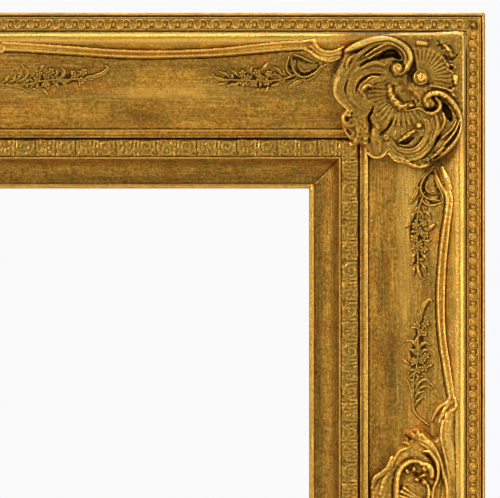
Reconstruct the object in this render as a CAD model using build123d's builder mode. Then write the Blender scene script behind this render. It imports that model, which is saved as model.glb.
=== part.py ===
from build123d import *
from math import atan2, cos, hypot, pi, radians, sin
import os

# An empty gilded picture frame with swept ribs, standing upright: +X right, +Z up, front facing -Y.
# The origin lies on the wall behind the middle of the frame. All lengths are in millimetres.
# Places on the moulding are given as inward (from the outer edge), along (from the upper right
# corner) and height (from the timber's back towards the front).

# The picture that the rabbet takes, and the play round it
picture_width = 508.0
picture_height = 406.4
picture_play = 1.5
rabbet_width = 6.5
rabbet_depth = 13.0
wall_gap = 6.0

# Widths across the moulding, in order from the outer edge to the sight edge
outer_chamfer_width = 1.4
outer_lip_width = 2.4
bead_band_width = 7.7
groove_width = 1.1
ridge_width = 7.0
slope_width = 13.4
cove_width = 39.8
fillet_bead_width = 1.6
fillet_width = 4.6
leaf_gap = 0.9
leaf_band_width = 11.4
inner_fillet_width = 0.7
inner_cove_width = 15.0
lip_groove_width = 0.6
sight_lip_width = 3.4

# Heights above the back of the timber
outer_edge_height = 21.0
outer_lip_height = 24.5
bead_seat_height = 23.0
groove_height = 29.5
ridge_foot_height = 44.5
ridge_height = 48.0
slope_top_height = 46.5
cove_top_height = 37.5
cove_end_height = 31.5
fillet_height = 33.4
fillet_bead_rise = 0.8
leaf_seat_height = 30.5
inner_fillet_height = 32.8
inner_cove_foot_height = 21.5
inner_cove_sag = 3.4
sight_lip_height = 23.0

# The strips that are glued on
bead_root = 1.6
bead_height = 3.0
bead_crest_shares = (0.75, 0.25)
leaf_pitch = 28.0
leaf_root = 3.2
leaf_height = 4.2
leaf_shoulder_share = 0.1

# The swept ribs
rib_thickness = 1.6
rib_edge_rise = 1.0

# The castings' ground stands this far above the ridge, the cove's foot and the leaf strip
casting_over_crown = 2.9
casting_over_cove = 8.8
casting_over_leaves = 3.7

# The ornaments stand this far above their beds, or above the castings' ground
sprig_relief = 3.2
flower_rise = 1.6
flute_rise = 1.8
scroll_rise = 3.4
boss_rise = 5.2

# Hardware on the back
nail_leg = 6.0
nail_thickness = 0.8
nail_depth = 10.0
nail_first = 22.0
nail_spacing = 48.0
button_width = 10.0
button_arm = 17.0
button_tail = 6.0
button_thickness = 1.6
button_inset = 92.0
button_from_middle = 150.0
turning_gap = 0.1
button_screw_radius = 1.6
button_head_radius = 3.2
screw_head_height = 2.0
screw_length = 14.0
pilot_gap = 0.05
strap_width = 12.0
strap_length = 30.0
strap_thickness = 1.2
strap_inset = 52.0
hang_height = 103.0
strap_screw_radius = 2.0
strap_head_radius = 3.6
strap_hole_from_loop = 19.0
ring_wire_radius = 1.2
ring_bend_radius = 2.4
ring_side_gap = 0.8
ring_running_gap = 0.08
pad_size = 18.0
pad_inward = 20.0
pad_along = 70.0

# Flats that stand for curves: in the carved outlines, small round hardware, the wire and the cove
arc_flats = 6
round_flats = 10
wire_flats = 8
bed_chords = 4
skin_chords = 2

# Where each band starts, measured from the outer edge
lip_start = outer_chamfer_width
bead_band_start = lip_start + outer_lip_width
groove_start = bead_band_start + bead_band_width
ridge_start = groove_start + groove_width
slope_start = ridge_start + ridge_width
cove_start = slope_start + slope_width
fillet_start = cove_start + cove_width
leaf_gap_start = fillet_start + fillet_bead_width + fillet_width
leaf_band_start = leaf_gap_start + leaf_gap
inner_fillet_start = leaf_band_start + leaf_band_width
inner_cove_start = inner_fillet_start + inner_fillet_width
lip_groove_start = inner_cove_start + inner_cove_width
sight_lip_start = lip_groove_start + lip_groove_width
moulding_width = sight_lip_start + sight_lip_width

# The whole frame, and the planes that its pieces are mirrored in
half_width = picture_width / 2 + picture_play - rabbet_width + moulding_width
half_height = picture_height / 2 + picture_play - rabbet_width + moulding_width
timber_back = -wall_gap
mitre = Plane(origin=(half_width, 0, half_height), z_dir=(1, 0, -1))
left_right = Plane.YZ
up_down = Plane.XY

# The cove is one arc, tangent to the slope above it
slope_drop = slope_top_height - cove_top_height
slope_angle = atan2(slope_drop, slope_width)
cove_drop = cove_top_height - cove_end_height
cove_half_turn = slope_angle - atan2(cove_drop, cove_width)
cove_radius = hypot(cove_width, cove_drop) / (2 * sin(cove_half_turn))
fillet_bead_top = fillet_height + fillet_bead_rise


def spot(inward, along):
    """X and Z of a point on the upper rail, by its distances from the outer edge and the corner."""
    return (half_width - along, half_height - inward)


def facing(height):
    """A plane parallel to the wall at a height above the timber's back, looking to the front."""
    return Plane(origin=(0, timber_back - height, 0), x_dir=(1, 0, 0), z_dir=(0, -1, 0))


def mitred_length(section, length):
    """The upper rail of the given section and outer length, mitred at both ends."""
    start = Plane(origin=(half_width, timber_back, half_height), x_dir=(0, 0, -1), z_dir=(-1, 0, 0))
    with BuildPart() as rail:
        with BuildSketch(start):
            add(section)
        extrude(amount=length)
        split(bisect_by=mitre, keep=Keep.BOTTOM)
        far_corner = (half_width - length, 0, half_height)
        split(bisect_by=Plane(origin=far_corner, z_dir=(-1, 0, -1)), keep=Keep.BOTTOM)
    return rail.part


def placed(shape, name, *planes):
    """A named copy of a shape, mirrored in each of the planes in turn."""
    with BuildPart() as piece:
        add(shape)
        for plane in planes:
            mirror(about=plane, mode=Mode.REPLACE)
    piece.part.label = name
    return piece.part


# The sections


def timber_section():
    """The timber's section, drawn from the outer edge inward."""
    with BuildSketch() as section:
        with BuildLine():
            Polyline(
                (0, 0),
                (0, outer_edge_height),
                (lip_start, outer_lip_height),
                (bead_band_start, outer_lip_height),
                (bead_band_start, bead_seat_height),
                (groove_start, groove_height),
                (ridge_start, groove_height),
                (ridge_start, ridge_foot_height),
            )
            ThreePointArc(
                (ridge_start, ridge_foot_height),
                (ridge_start + ridge_width / 2, ridge_height),
                (slope_start, slope_top_height),
            )
            Line((slope_start, slope_top_height), (cove_start, cove_top_height))
            TangentArc(
                (cove_start, cove_top_height),
                (fillet_start, cove_end_height),
                tangent=(slope_width, -slope_drop),
            )
            Line((fillet_start, cove_end_height), (fillet_start, fillet_height))
            Polyline(
                (fillet_start, fillet_height),
                (fillet_start + fillet_bead_width / 4, fillet_bead_top),
                (fillet_start + fillet_bead_width * 3 / 4, fillet_bead_top),
                (fillet_start + fillet_bead_width, fillet_height),
                (leaf_gap_start, fillet_height),
                (leaf_gap_start, leaf_seat_height),
                (inner_fillet_start, leaf_seat_height),
                (inner_fillet_start, inner_fillet_height),
                (inner_cove_start, inner_fillet_height),
            )
            SagittaArc(
                (inner_cove_start, inner_fillet_height),
                (lip_groove_start, inner_cove_foot_height),
                -inner_cove_sag,
            )
            Polyline(
                (lip_groove_start, inner_cove_foot_height),
                (sight_lip_start, inner_cove_foot_height),
                (sight_lip_start + sight_lip_width / 5, sight_lip_height),
                (moulding_width - sight_lip_width / 5, sight_lip_height),
                (moulding_width, inner_cove_foot_height),
                (moulding_width, rabbet_depth),
                (moulding_width - rabbet_width, rabbet_depth),
                (moulding_width - rabbet_width, 0),
                (0, 0),
            )
        make_face()
    return section.sketch


def cove_line(raised, chords):
    """Points along the slope and the cove, raised square to the surface, with the cove in chords.

    A chord of the hollow cove never enters the timber, so a flat bedded casting fits on it.
    """
    centre_inward = cove_start + cove_radius * sin(slope_angle)
    centre_height = cove_top_height + cove_radius * cos(slope_angle)
    points = [(slope_start + raised * sin(slope_angle), slope_top_height + raised * cos(slope_angle))]
    for step in range(chords + 1):
        angle = slope_angle - 2 * cove_half_turn * step / chords
        inward = centre_inward - (cove_radius - raised) * sin(angle)
        height = centre_height - (cove_radius - raised) * cos(angle)
        points.append((inward, height))
    return points


def skin_section(raised):
    """The section below a surface that lies above the slope and the cove by one height."""
    line = cove_line(raised, skin_chords)
    with BuildSketch() as section:
        Polygon((line[0][0], 0), *line, (line[-1][0], 0))
    return section.sketch


def bed_section():
    """The section that castings rest on: ridge, slope, cove and the leaf strip's tops."""
    strip_top = leaf_seat_height + leaf_height
    line = cove_line(0, bed_chords)
    with BuildSketch() as section:
        with BuildLine():
            Line((ridge_start, 0), (ridge_start, ridge_foot_height))
            ThreePointArc(
                (ridge_start, ridge_foot_height),
                (ridge_start + ridge_width / 2, ridge_height),
                (slope_start, slope_top_height),
            )
            Polyline(*line, (fillet_start, strip_top), (lip_groove_start, strip_top))
            Polyline((lip_groove_start, strip_top), (lip_groove_start, 0), (ridge_start, 0))
        make_face()
    return section.sketch


# Where the castings' ground changes its slope, as shares of the moulding's width
ground_shares = [0.114, 0.25, 0.60, 0.92]


def drape_section(raised):
    """The section below the surface that a corner or centre casting is modelled to."""
    crown = max(ridge_height, slope_top_height) + casting_over_crown
    heights = [
        crown,
        crown,
        cove_end_height + casting_over_cove,
        leaf_seat_height + leaf_height + casting_over_leaves,
    ]
    line = [(share * moulding_width, height + raised) for share, height in zip(ground_shares, heights)]
    with BuildSketch() as section:
        Polygon((line[0][0], 0), *line, (line[-1][0], 0))
    return section.sketch


# The timber, with its pockets and pilot holes


nail_corners = [
    (0, 0),
    (nail_leg, 0),
    (nail_leg, nail_thickness),
    (nail_thickness, nail_thickness),
    (nail_thickness, nail_leg),
    (0, nail_leg),
]

with BuildPart() as corner_nails:
    with BuildSketch(facing(0)):
        for start in (nail_first, nail_first + nail_spacing):
            Polygon(*[spot(start + inward, start + along) for inward, along in nail_corners])
    extrude(amount=nail_depth)

button_height = half_height - button_inset
button_spots = [(-button_from_middle, button_height), (button_from_middle, button_height)]
button_stack = button_thickness + 2 * turning_gap
strap_middle = half_width - strap_inset
strap_hole = (strap_middle, hang_height - strap_hole_from_loop)

with BuildPart() as top_rail:
    add(mitred_length(timber_section(), 2 * half_width))
    add(corner_nails.part, mode=Mode.SUBTRACT)
    add(corner_nails.part.mirror(left_right), mode=Mode.SUBTRACT)
    with BuildSketch(facing(0)):
        with Locations(*button_spots):
            RegularPolygon(button_screw_radius + pilot_gap, side_count=round_flats)
    extrude(amount=screw_length - button_stack + pilot_gap, mode=Mode.SUBTRACT)

with BuildPart() as right_stile:
    add(mitred_length(timber_section(), 2 * half_height))
    mirror(about=mitre, mode=Mode.REPLACE)
    add(corner_nails.part, mode=Mode.SUBTRACT)
    add(corner_nails.part.mirror(up_down), mode=Mode.SUBTRACT)
    with BuildSketch(facing(0)):
        with Locations(strap_hole):
            RegularPolygon(strap_screw_radius + pilot_gap, side_count=round_flats)
    extrude(amount=screw_length - strap_thickness + pilot_gap, mode=Mode.SUBTRACT)

pieces = [
    placed(top_rail.part, "top_rail"),
    placed(top_rail.part, "bottom_rail", up_down),
    placed(right_stile.part, "right_stile"),
    placed(right_stile.part, "left_stile", left_right),
]

# Every quarter of the frame is the upper right one, mirrored
quarters = {
    "upper_right": [],
    "upper_left": [left_right],
    "lower_right": [up_down],
    "lower_left": [left_right, up_down],
}

with BuildPart() as v_nails:
    for planes in quarters.values():
        add(placed(corner_nails.part, "nails", *planes))
v_nails.part.label = "v_nails"
pieces.append(v_nails.part)


# The strips that are glued on


def bead_section():
    """The egg and dart strip's blunt arched section, on its slanting seat outside the ridge."""
    rise = groove_height - bead_seat_height
    crest = [
        (bead_band_start + share * bead_band_width, bead_seat_height + share * rise + bead_height)
        for share in bead_crest_shares
    ]
    with BuildSketch() as section:
        Polygon(
            (bead_band_start, bead_seat_height),
            (groove_start, groove_height),
            (groove_start, groove_height + bead_root),
            *crest,
            (bead_band_start, bead_seat_height + bead_root),
        )
    return section.sketch


def bead_strip(length):
    """The egg and dart strip of one side."""
    return mitred_length(bead_section(), length)


def leaf_strip(length):
    """The leaf strip of one side, with a blunt tooth for each leaf, mitred at both ends."""
    count = max(round(length / leaf_pitch), 1)
    step = length / count
    outline = [(0, 0)]
    for tooth in range(count):
        outline.append((tooth * step, leaf_root))
        outline.append(((tooth + leaf_shoulder_share) * step, leaf_height))
        outline.append(((tooth + 1 - leaf_shoulder_share) * step, leaf_height))
    outline += [(length, leaf_root), (length, 0)]
    start = Plane(
        origin=(half_width, timber_back - leaf_seat_height, half_height - leaf_band_start),
        x_dir=(-1, 0, 0),
        z_dir=(0, 0, 1),
    )
    far_corner = (half_width - length, 0, half_height)
    with BuildPart() as strip:
        with BuildSketch(start):
            Polygon(*outline)
        extrude(amount=-leaf_band_width)
        split(bisect_by=mitre, keep=Keep.BOTTOM)
        split(bisect_by=Plane(origin=far_corner, z_dir=(-1, 0, -1)), keep=Keep.BOTTOM)
    return strip.part


for name, make_strip in (("bead_strip", bead_strip), ("leaf_strip", leaf_strip)):
    across = make_strip(2 * half_width)
    upright = make_strip(2 * half_height)
    pieces.append(placed(across, f"{name}_top"))
    pieces.append(placed(across, f"{name}_bottom", up_down))
    pieces.append(placed(upright, f"{name}_right", mitre))
    pieces.append(placed(upright, f"{name}_left", mitre, left_right))


# The castings. Outlines are shares of the moulding's width: inward from the outer edge of the
# upper rail's side, and along from the corner, or for a centre casting along from the middle.
# A flute's outline is given as (share of its tip radius, swing as a share of half a step).
flute_shoulder_shares = (0.86, 0.8)
flute_root_swing_share = 0.55
leaf_belly_share = 0.4


def cut_to(shapes, top, bed):
    """Upright prisms on the outlines, cut to the space between a bed and the surface above it."""
    with BuildPart() as cut:
        with BuildSketch(facing(0)):
            for shape in shapes:
                add(shape)
        extrude(amount=2 * ridge_height)
        add(top, mode=Mode.INTERSECT)
        add(bed, mode=Mode.SUBTRACT)
    return cut.part


def both_rails(section):
    """The rails of one section that meet at the upper right corner, as one solid."""
    with BuildPart() as pair:
        add(mitred_length(section, 2 * half_height))
        mirror(about=mitre)
    return pair.part


def share_spot(point, middle=0):
    """X and Z of an (along, inward) pair of shares, from the corner or back from a middle."""
    along = point[0] * moulding_width
    return spot(point[1] * moulding_width, middle - along if middle else along)


def outline_face(shares, middle=0):
    """A straight sided outline through the given shares."""
    with BuildSketch() as face:
        Polygon(*[share_spot(point, middle) for point in shares])
    return face.sketch


def in_flats(start, through, end):
    """Points between the ends of an arc through three points, which is carved in a few flats."""
    arc = ThreePointArc(start, through, end, mode=Mode.PRIVATE)
    return [tuple(arc @ (step / arc_flats))[:2] for step in range(1, arc_flats)]


def scroll_face(outer_shares, inner_shares, middle=0):
    """A C scroll between two arcs, each through three points and carved in a few flats."""
    corners = []
    for shares in (outer_shares, inner_shares):
        ends = [share_spot(point, middle) for point in shares]
        corners += [ends[0], *in_flats(*ends), ends[-1]]
    with BuildSketch() as face:
        Polygon(*corners)
    return face.sketch


def fan_faces(centre, radii, angles, count, middle=0):
    """Flutes that spread from a centre between two radii and two angles, each with a blunt point."""
    first, last = angles
    root, tip = radii
    shoulder = flute_shoulder_shares[0] * tip
    swing = flute_shoulder_shares[1]
    root_swing = flute_root_swing_share
    corners = [(root, -root_swing), (root, root_swing), (shoulder, swing), (tip, 0), (shoulder, -swing)]
    half_step = radians(last - first) / count / 2
    faces = []
    for flute in range(count):
        angle = radians(first) + (2 * flute + 1) * half_step
        shares = []
        for radius, swing in corners:
            turned = angle + swing * half_step
            shares.append((centre[0] - radius * cos(turned), centre[1] - radius * sin(turned)))
        faces.append(outline_face(shares, middle))
    return faces


def leaf_face(root, tip, width, middle=0):
    """A leaf blade: a kite with its widest part nearer its root."""
    run = (tip[0] - root[0], tip[1] - root[1])
    length = hypot(*run)
    side = (-run[1] / length * width / 2, run[0] / length * width / 2)
    belly = (root[0] + leaf_belly_share * run[0], root[1] + leaf_belly_share * run[1])
    one_side = (belly[0] + side[0], belly[1] + side[1])
    other_side = (belly[0] - side[0], belly[1] - side[1])
    return outline_face([root, one_side, tip, other_side], middle)


def boss_faces(centres, radius, middle=0):
    """Round bosses: the eyes of scrolls and rosettes."""
    with BuildSketch() as face:
        with Locations(*[share_spot(centre, middle) for centre in centres]):
            RegularPolygon(radius * moulding_width, side_count=round_flats)
    return [face.sketch]


# The corner casting, as (along, inward) shares from the corner
corner_outline_shares = [
    (0.866, 0.386), (0.816, 0.245), (0.770, 0.193), (0.679, 0.153), (0.554, 0.142), (0.424, 0.204),
    (0.390, 0.159), (0.265, 0.170), (0.210, 0.200), (0.157, 0.318), (0.146, 0.397), (0.157, 0.459),
    (0.123, 0.613), (0.174, 0.760), (0.237, 0.817), (0.316, 0.879), (0.418, 0.868), (0.566, 0.828),
    (0.656, 0.822), (0.690, 0.749), (0.798, 0.652), (0.855, 0.488),
]
corner_scroll_shares = [
    ([(0.798, 0.272), (0.611, 0.153), (0.424, 0.255)], [(0.466, 0.290), (0.600, 0.205), (0.752, 0.300)]),
    ([(0.350, 0.488), (0.174, 0.522), (0.168, 0.715)], [(0.208, 0.681), (0.225, 0.556), (0.316, 0.533)]),
    ([(0.566, 0.420), (0.514, 0.550), (0.412, 0.539)], [(0.412, 0.494), (0.475, 0.499), (0.520, 0.420)]),
]
corner_boss_shares = [(0.497, 0.326), (0.370, 0.372), (0.316, 0.540)]
corner_boss_radius_share = 0.038
shell_centre_share = (0.370, 0.372)
shell_radius_shares = (0.065, 0.200)
wing_centre_share = (0.460, 0.480)
wing_radius_shares = (0.140, 0.330)
corner_leaf_shares = [
    ((0.68, 0.64), (0.80, 0.61), 0.07), ((0.60, 0.64), (0.63, 0.79), 0.08),
    ((0.50, 0.68), (0.51, 0.82), 0.08), ((0.41, 0.66), (0.38, 0.86), 0.08),
    ((0.33, 0.65), (0.22, 0.79), 0.08),
]

# The directions that the shell and the wing spread over, in degrees from along the rail to inward,
# and how many flutes each has
shell_angles = (75, 185)
wing_angles = (-80, 15)
centre_shell_angles = (35, 145)
fan_flutes = 5

rises = (0, flute_rise, scroll_rise, boss_rise)
corner_bed = both_rails(bed_section())
corner_shell = fan_faces(shell_centre_share, shell_radius_shares, shell_angles, fan_flutes)
corner_wing = fan_faces(wing_centre_share, wing_radius_shares, wing_angles, fan_flutes)
corner_leaves = [leaf_face(*shares) for shares in corner_leaf_shares]
corner_layers = [
    [outline_face(corner_outline_shares)],
    corner_shell + corner_wing + corner_leaves,
    [scroll_face(*shares) for shares in corner_scroll_shares],
    boss_faces(corner_boss_shares, corner_boss_radius_share),
]

with BuildPart() as corner_ornament:
    for rise, layer in zip(rises, corner_layers):
        add(cut_to(layer, both_rails(drape_section(rise)), corner_bed))

for name, planes in quarters.items():
    pieces.append(placed(corner_ornament.part, f"corner_ornament_{name}", *planes))


# The ribs and sprigs of one half side, drawn on the upper rail and mirrored in the mitre for the
# stiles
side_bed = mitred_length(bed_section(), 2 * half_width)
half_sides = {"top": half_width, "right": half_height}


def skin(raised):
    """The upper rail as far as a surface above its slope and cove."""
    return mitred_length(skin_section(raised), 2 * half_width)


# Rib edges as (along, inward) shares, the corner end from the corner and the centre end from the
# middle of the side
rib_corner_shares = [(0.862, 0.285), (0.872, 0.215), (0.910, 0.190), (0.990, 0.186)]
rib_corner_inner_shares = [(0.990, 0.212), (0.920, 0.222), (0.892, 0.285)]
rib_centre_shares = [(0.600, 0.186), (0.530, 0.192), (0.508, 0.215), (0.500, 0.262)]
rib_centre_inner_shares = [(0.530, 0.262), (0.545, 0.224), (0.600, 0.212)]
rib_bow_shares = (0.229, 0.273)
channel_end_shares = (0.197, 0.201)
channel_bow_shares = (0.241, 0.261)


def rib_face(length):
    """The rib's outline from its knee at the corner to its knee at the middle."""
    corner = [share_spot(point) for point in rib_corner_shares]
    corner_inner = [share_spot(point) for point in rib_corner_inner_shares]
    centre = [share_spot(point, length) for point in rib_centre_shares]
    centre_inner = [share_spot(point, length) for point in rib_centre_inner_shares]
    middle_x = (corner[-1][0] + centre[0][0]) / 2
    outer_bow, inner_bow = [half_height - share * moulding_width for share in rib_bow_shares]
    with BuildSketch() as face:
        with BuildLine():
            Polyline(
                *corner,
                *in_flats(corner[-1], (middle_x, outer_bow), centre[0]),
                *centre,
                *centre_inner,
                *in_flats(centre_inner[-1], (middle_x, inner_bow), corner_inner[0]),
                *corner_inner,
                close=True,
            )
        make_face()
    return face.sketch


def channel_face(length):
    """The shallow channel between a rib's two raised edges."""
    corner_x = share_spot(rib_corner_shares[-1])[0]
    centre_x = share_spot(rib_centre_shares[0], length)[0]
    middle_x = (corner_x + centre_x) / 2
    outer_end, inner_end = [half_height - share * moulding_width for share in channel_end_shares]
    outer_bow, inner_bow = [half_height - share * moulding_width for share in channel_bow_shares]
    with BuildSketch() as face:
        with BuildLine():
            Polyline(
                (corner_x, outer_end),
                *in_flats((corner_x, outer_end), (middle_x, outer_bow), (centre_x, outer_end)),
                (centre_x, outer_end),
                (centre_x, inner_end),
                *in_flats((centre_x, inner_end), (middle_x, inner_bow), (corner_x, inner_end)),
                (corner_x, inner_end),
                close=True,
            )
        make_face()
    return face.sketch


def swept_rib(length):
    """A rib on the slope of the upper rail, with its two edges raised beside a channel."""
    edge_top = skin(rib_thickness + rib_edge_rise)
    above_edges = skin(rib_thickness + 2 * rib_edge_rise)
    with BuildPart() as rib:
        add(cut_to([rib_face(length)], edge_top, side_bed))
        add(cut_to([channel_face(length)], above_edges, skin(rib_thickness)), mode=Mode.SUBTRACT)
    return rib.part


# A flower spray as (along, inward) shares: along from its root as a share of its length, inward
# as a share of the moulding's width. Its leaves run from root to tip.
stem_shares = [
    (-0.015, 0.350), (0.209, 0.395), (0.500, 0.360), (0.912, 0.350), (1.000, 0.295), (0.941, 0.382),
    (0.500, 0.385), (0.209, 0.425),
]
spray_leaf_shares = [
    ((0.191, 0.41), (0.382, 0.465)), ((0.191, 0.41), (0.324, 0.300)), ((0.632, 0.37), (0.699, 0.460)),
    ((0.632, 0.37), (0.699, 0.295)), ((0.882, 0.365), (0.963, 0.435)),
]
spray_leaf_width_share = 0.042
spray_flower_shares = [(0.500, 0.368), (0.794, 0.372)]
spray_flower_radius_share = 0.055
corner_root_share = 0.90
centre_root_share = 0.43

# Two sprays lie in the room between the castings of the frame's shorter sides
spray_room_share = 0.467
spray_room = min(half_width, half_height) - (corner_root_share + centre_root_share) * moulding_width
spray_length = spray_room_share * spray_room


def sprig(root_share, middle=0):
    """A flower spray in the cove of the upper rail, its root towards the corner or the middle."""

    def moved(point):
        return (root_share + point[0] * spray_length / moulding_width, point[1])

    flat = [outline_face([moved(point) for point in stem_shares], middle)]
    for root, tip in spray_leaf_shares:
        flat.append(leaf_face(moved(root), moved(tip), spray_leaf_width_share, middle))
    with BuildSketch() as flowers:
        with Locations(*[share_spot(moved(point), middle) for point in spray_flower_shares]):
            RegularPolygon(spray_flower_radius_share * moulding_width, side_count=6)
    with BuildPart() as spray:
        add(cut_to(flat, skin(sprig_relief), side_bed))
        add(cut_to([flowers.sketch], skin(sprig_relief + flower_rise), side_bed))
    return spray.part


# The centre casting, as (along, inward) shares back from the middle of the side
centre_outline_shares = [
    (0.405, 0.458), (0.390, 0.390), (0.300, 0.305), (0.190, 0.262), (0.090, 0.205), (-0.080, 0.195),
    (-0.200, 0.262), (-0.310, 0.312), (-0.390, 0.395), (-0.400, 0.450), (-0.280, 0.525), (-0.190, 0.560),
    (-0.090, 0.640), (0.080, 0.645), (0.190, 0.560), (0.290, 0.515),
]
centre_scroll_outer_shares = [(0.060, 0.580), (0.255, 0.500), (0.265, 0.350)]
centre_scroll_inner_shares = [(0.220, 0.370), (0.205, 0.470), (0.060, 0.530)]
centre_boss_shares = [(0.102, 0.350), (-0.102, 0.350), (0.0, 0.470)]
centre_boss_radius_share = 0.036
centre_shell_share = (0.0, 0.470)
centre_shell_radius_shares = (0.060, 0.245)
centre_leaf_shares = [((0.25, 0.41), (0.39, 0.44), 0.09), ((-0.25, 0.41), (-0.39, 0.43), 0.09)]


def centre_ornament(middle):
    """The casting at the middle of the upper rail: two scrolls back to back below a shell."""
    shell = fan_faces(
        centre_shell_share, centre_shell_radius_shares, centre_shell_angles, fan_flutes, middle
    )
    leaves = [leaf_face(*shares, middle) for shares in centre_leaf_shares]
    scrolls = []
    for side in (1, -1):
        outer = [(side * along, inward) for along, inward in centre_scroll_outer_shares]
        inner = [(side * along, inward) for along, inward in centre_scroll_inner_shares]
        scrolls.append(scroll_face(outer, inner, middle))
    layers = [
        [outline_face(centre_outline_shares, middle)],
        shell + leaves,
        scrolls,
        boss_faces(centre_boss_shares, centre_boss_radius_share, middle),
    ]
    with BuildPart() as casting:
        for rise, layer in zip(rises, layers):
            add(cut_to(layer, mitred_length(drape_section(rise), 2 * half_width), side_bed))
    return casting.part


for side, length in half_sides.items():
    turned = [] if side == "top" else [mitre]
    rib = swept_rib(length)
    corner_spray = sprig(corner_root_share)
    centre_spray = sprig(centre_root_share, length)
    for quarter, planes in quarters.items():
        where = f"{quarter}_{'across' if side == 'top' else 'upright'}"
        pieces.append(placed(rib, f"swept_rib_{where}", *turned, *planes))
        pieces.append(placed(corner_spray, f"corner_sprig_{where}", *turned, *planes))
        pieces.append(placed(centre_spray, f"centre_sprig_{where}", *turned, *planes))
    centre = centre_ornament(length)
    pieces.append(placed(centre, f"centre_ornament_{side}", *turned))
    far_side, plane = ("bottom", up_down) if side == "top" else ("left", left_right)
    pieces.append(placed(centre, f"centre_ornament_{far_side}", *turned, plane))


# Hardware on the back


def behind(height):
    """A plane parallel to the wall at a height above the timber's back, looking to the wall."""
    return Plane(origin=(0, timber_back - height, 0), x_dir=(-1, 0, 0), z_dir=(0, 1, 0))


def screws(spots, head_seat, shank_radius, head_radius):
    """Pan head screws at (x, z) spots, with their heads seated behind the timber's back."""
    with BuildPart() as group:
        with BuildSketch(behind(-head_seat)):
            with Locations(*[(-x, z) for x, z in spots]):
                RegularPolygon(head_radius, side_count=round_flats)
        extrude(amount=screw_head_height)
        with BuildSketch(behind(-head_seat)):
            with Locations(*[(-x, z) for x, z in spots]):
                RegularPolygon(shank_radius, side_count=round_flats)
        extrude(amount=-screw_length)
    return group.part


# Turn buttons point at the opening and close over the rabbet. They turn on their screws.
button_end = button_width / 4
button_bore = (button_screw_radius + turning_gap) / cos(pi / round_flats)
button_corners = [
    (-button_width / 2, button_tail - button_end),
    (-button_end, button_tail),
    (button_end, button_tail),
    (button_width / 2, button_tail - button_end),
    (button_width / 2, button_end - button_arm),
    (button_end, -button_arm),
    (-button_end, -button_arm),
    (-button_width / 2, button_end - button_arm),
]
for across, planes in (("right", []), ("left", [left_right])):
    with BuildPart() as button:
        with BuildSketch(behind(-turning_gap)):
            with Locations((-button_from_middle, button_height)):
                Polygon(*button_corners)
                RegularPolygon(button_bore, side_count=round_flats, mode=Mode.SUBTRACT)
        extrude(amount=button_thickness)
    pieces.append(placed(button.part, f"turn_button_top_{across}", *planes))
    pieces.append(placed(button.part, f"turn_button_bottom_{across}", *planes, up_down))

lower_button_spots = [(x, -z) for x, z in button_spots]
button_screws = screws(
    button_spots + lower_button_spots, button_stack, button_screw_radius, button_head_radius
)
pieces.append(placed(button_screws, "turn_button_screws"))

# Straps on the stiles, each with a rolled loop at its upper end that a ring swings in
loop_bore = (ring_wire_radius + ring_running_gap) / cos(pi / round_flats)
loop_radius = loop_bore + strap_thickness
loop_axis = timber_back + loop_radius

with BuildPart() as strap:
    side_on = Plane(origin=(strap_middle, loop_axis, hang_height), x_dir=(0, 1, 0), z_dir=(1, 0, 0))
    with BuildSketch(side_on):
        RegularPolygon(loop_radius, side_count=round_flats)
        with Locations((-loop_radius, 0)):
            Rectangle(strap_thickness, strap_length, align=(Align.MIN, Align.MAX))
        RegularPolygon(loop_bore, side_count=round_flats, mode=Mode.SUBTRACT)
    extrude(amount=strap_width / 2, both=True)
    with BuildSketch(behind(0)):
        with Locations((-strap_hole[0], strap_hole[1])):
            RegularPolygon(strap_screw_radius + pilot_gap, side_count=round_flats)
    extrude(amount=strap_thickness, mode=Mode.SUBTRACT)

# Each ring is bent from wire: a straight bar through the loop, two bends and a half circle, which
# hangs down behind the strap until the ring is swung up over a hook
bar_half = strap_width / 2 + ring_side_gap
ring_radius = bar_half + ring_bend_radius

ring_end = (0, ring_bend_radius + ring_radius)
ring_shoulder = (ring_radius * sin(pi / 4), ring_bend_radius + ring_radius * cos(pi / 4))
ring_bow = in_flats((ring_radius, ring_bend_radius), ring_shoulder, ring_end)[1::2]
ring_middle = (strap_middle, loop_axis, hang_height)

with BuildPart() as ring:
    with BuildLine(Plane(origin=ring_middle, x_dir=(1, 0, 0), z_dir=(0, 1, 0))):
        Polyline((0, 0), (bar_half, 0), (ring_radius, ring_bend_radius), *ring_bow, ring_end)
    with BuildSketch(Plane(origin=ring_middle, z_dir=(1, 0, 0))):
        RegularPolygon(ring_wire_radius, side_count=wire_flats)
    sweep(transition=Transition.RIGHT)
    mirror(about=Plane(origin=(strap_middle, 0, 0), z_dir=(1, 0, 0)))

strap_spots = [strap_hole, (-strap_hole[0], strap_hole[1])]
strap_screws = screws(strap_spots, strap_thickness, strap_screw_radius, strap_head_radius)
for across, planes in (("right", []), ("left", [left_right])):
    pieces.append(placed(strap.part, f"hanger_strap_{across}", *planes))
    pieces.append(placed(ring.part, f"d_ring_{across}", *planes))
pieces.append(placed(strap_screws, "strap_screws"))

# Felt pads behind the lower corners, as thick as the gap to the wall
for across, planes in (("right", [up_down]), ("left", [left_right, up_down])):
    with BuildPart() as pad:
        with BuildSketch(behind(0)):
            x, z = spot(pad_inward, pad_along)
            with Locations((-x, z)):
                Rectangle(pad_size, pad_size, align=(Align.MIN, Align.MAX))
        extrude(amount=wall_gap)
    pieces.append(placed(pad.part, f"wall_pad_{across}", *planes))

os.makedirs("parts", exist_ok=True)
for piece in pieces:
    export_step(piece, f"parts/{piece.label}.step")
print("frame", 2 * half_width, "by", 2 * half_height, "moulding", moulding_width, "nodes", len(pieces))
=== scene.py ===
import math

import bmesh
import bpy
import numpy as np
from mathutils import Matrix, Vector


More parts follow.
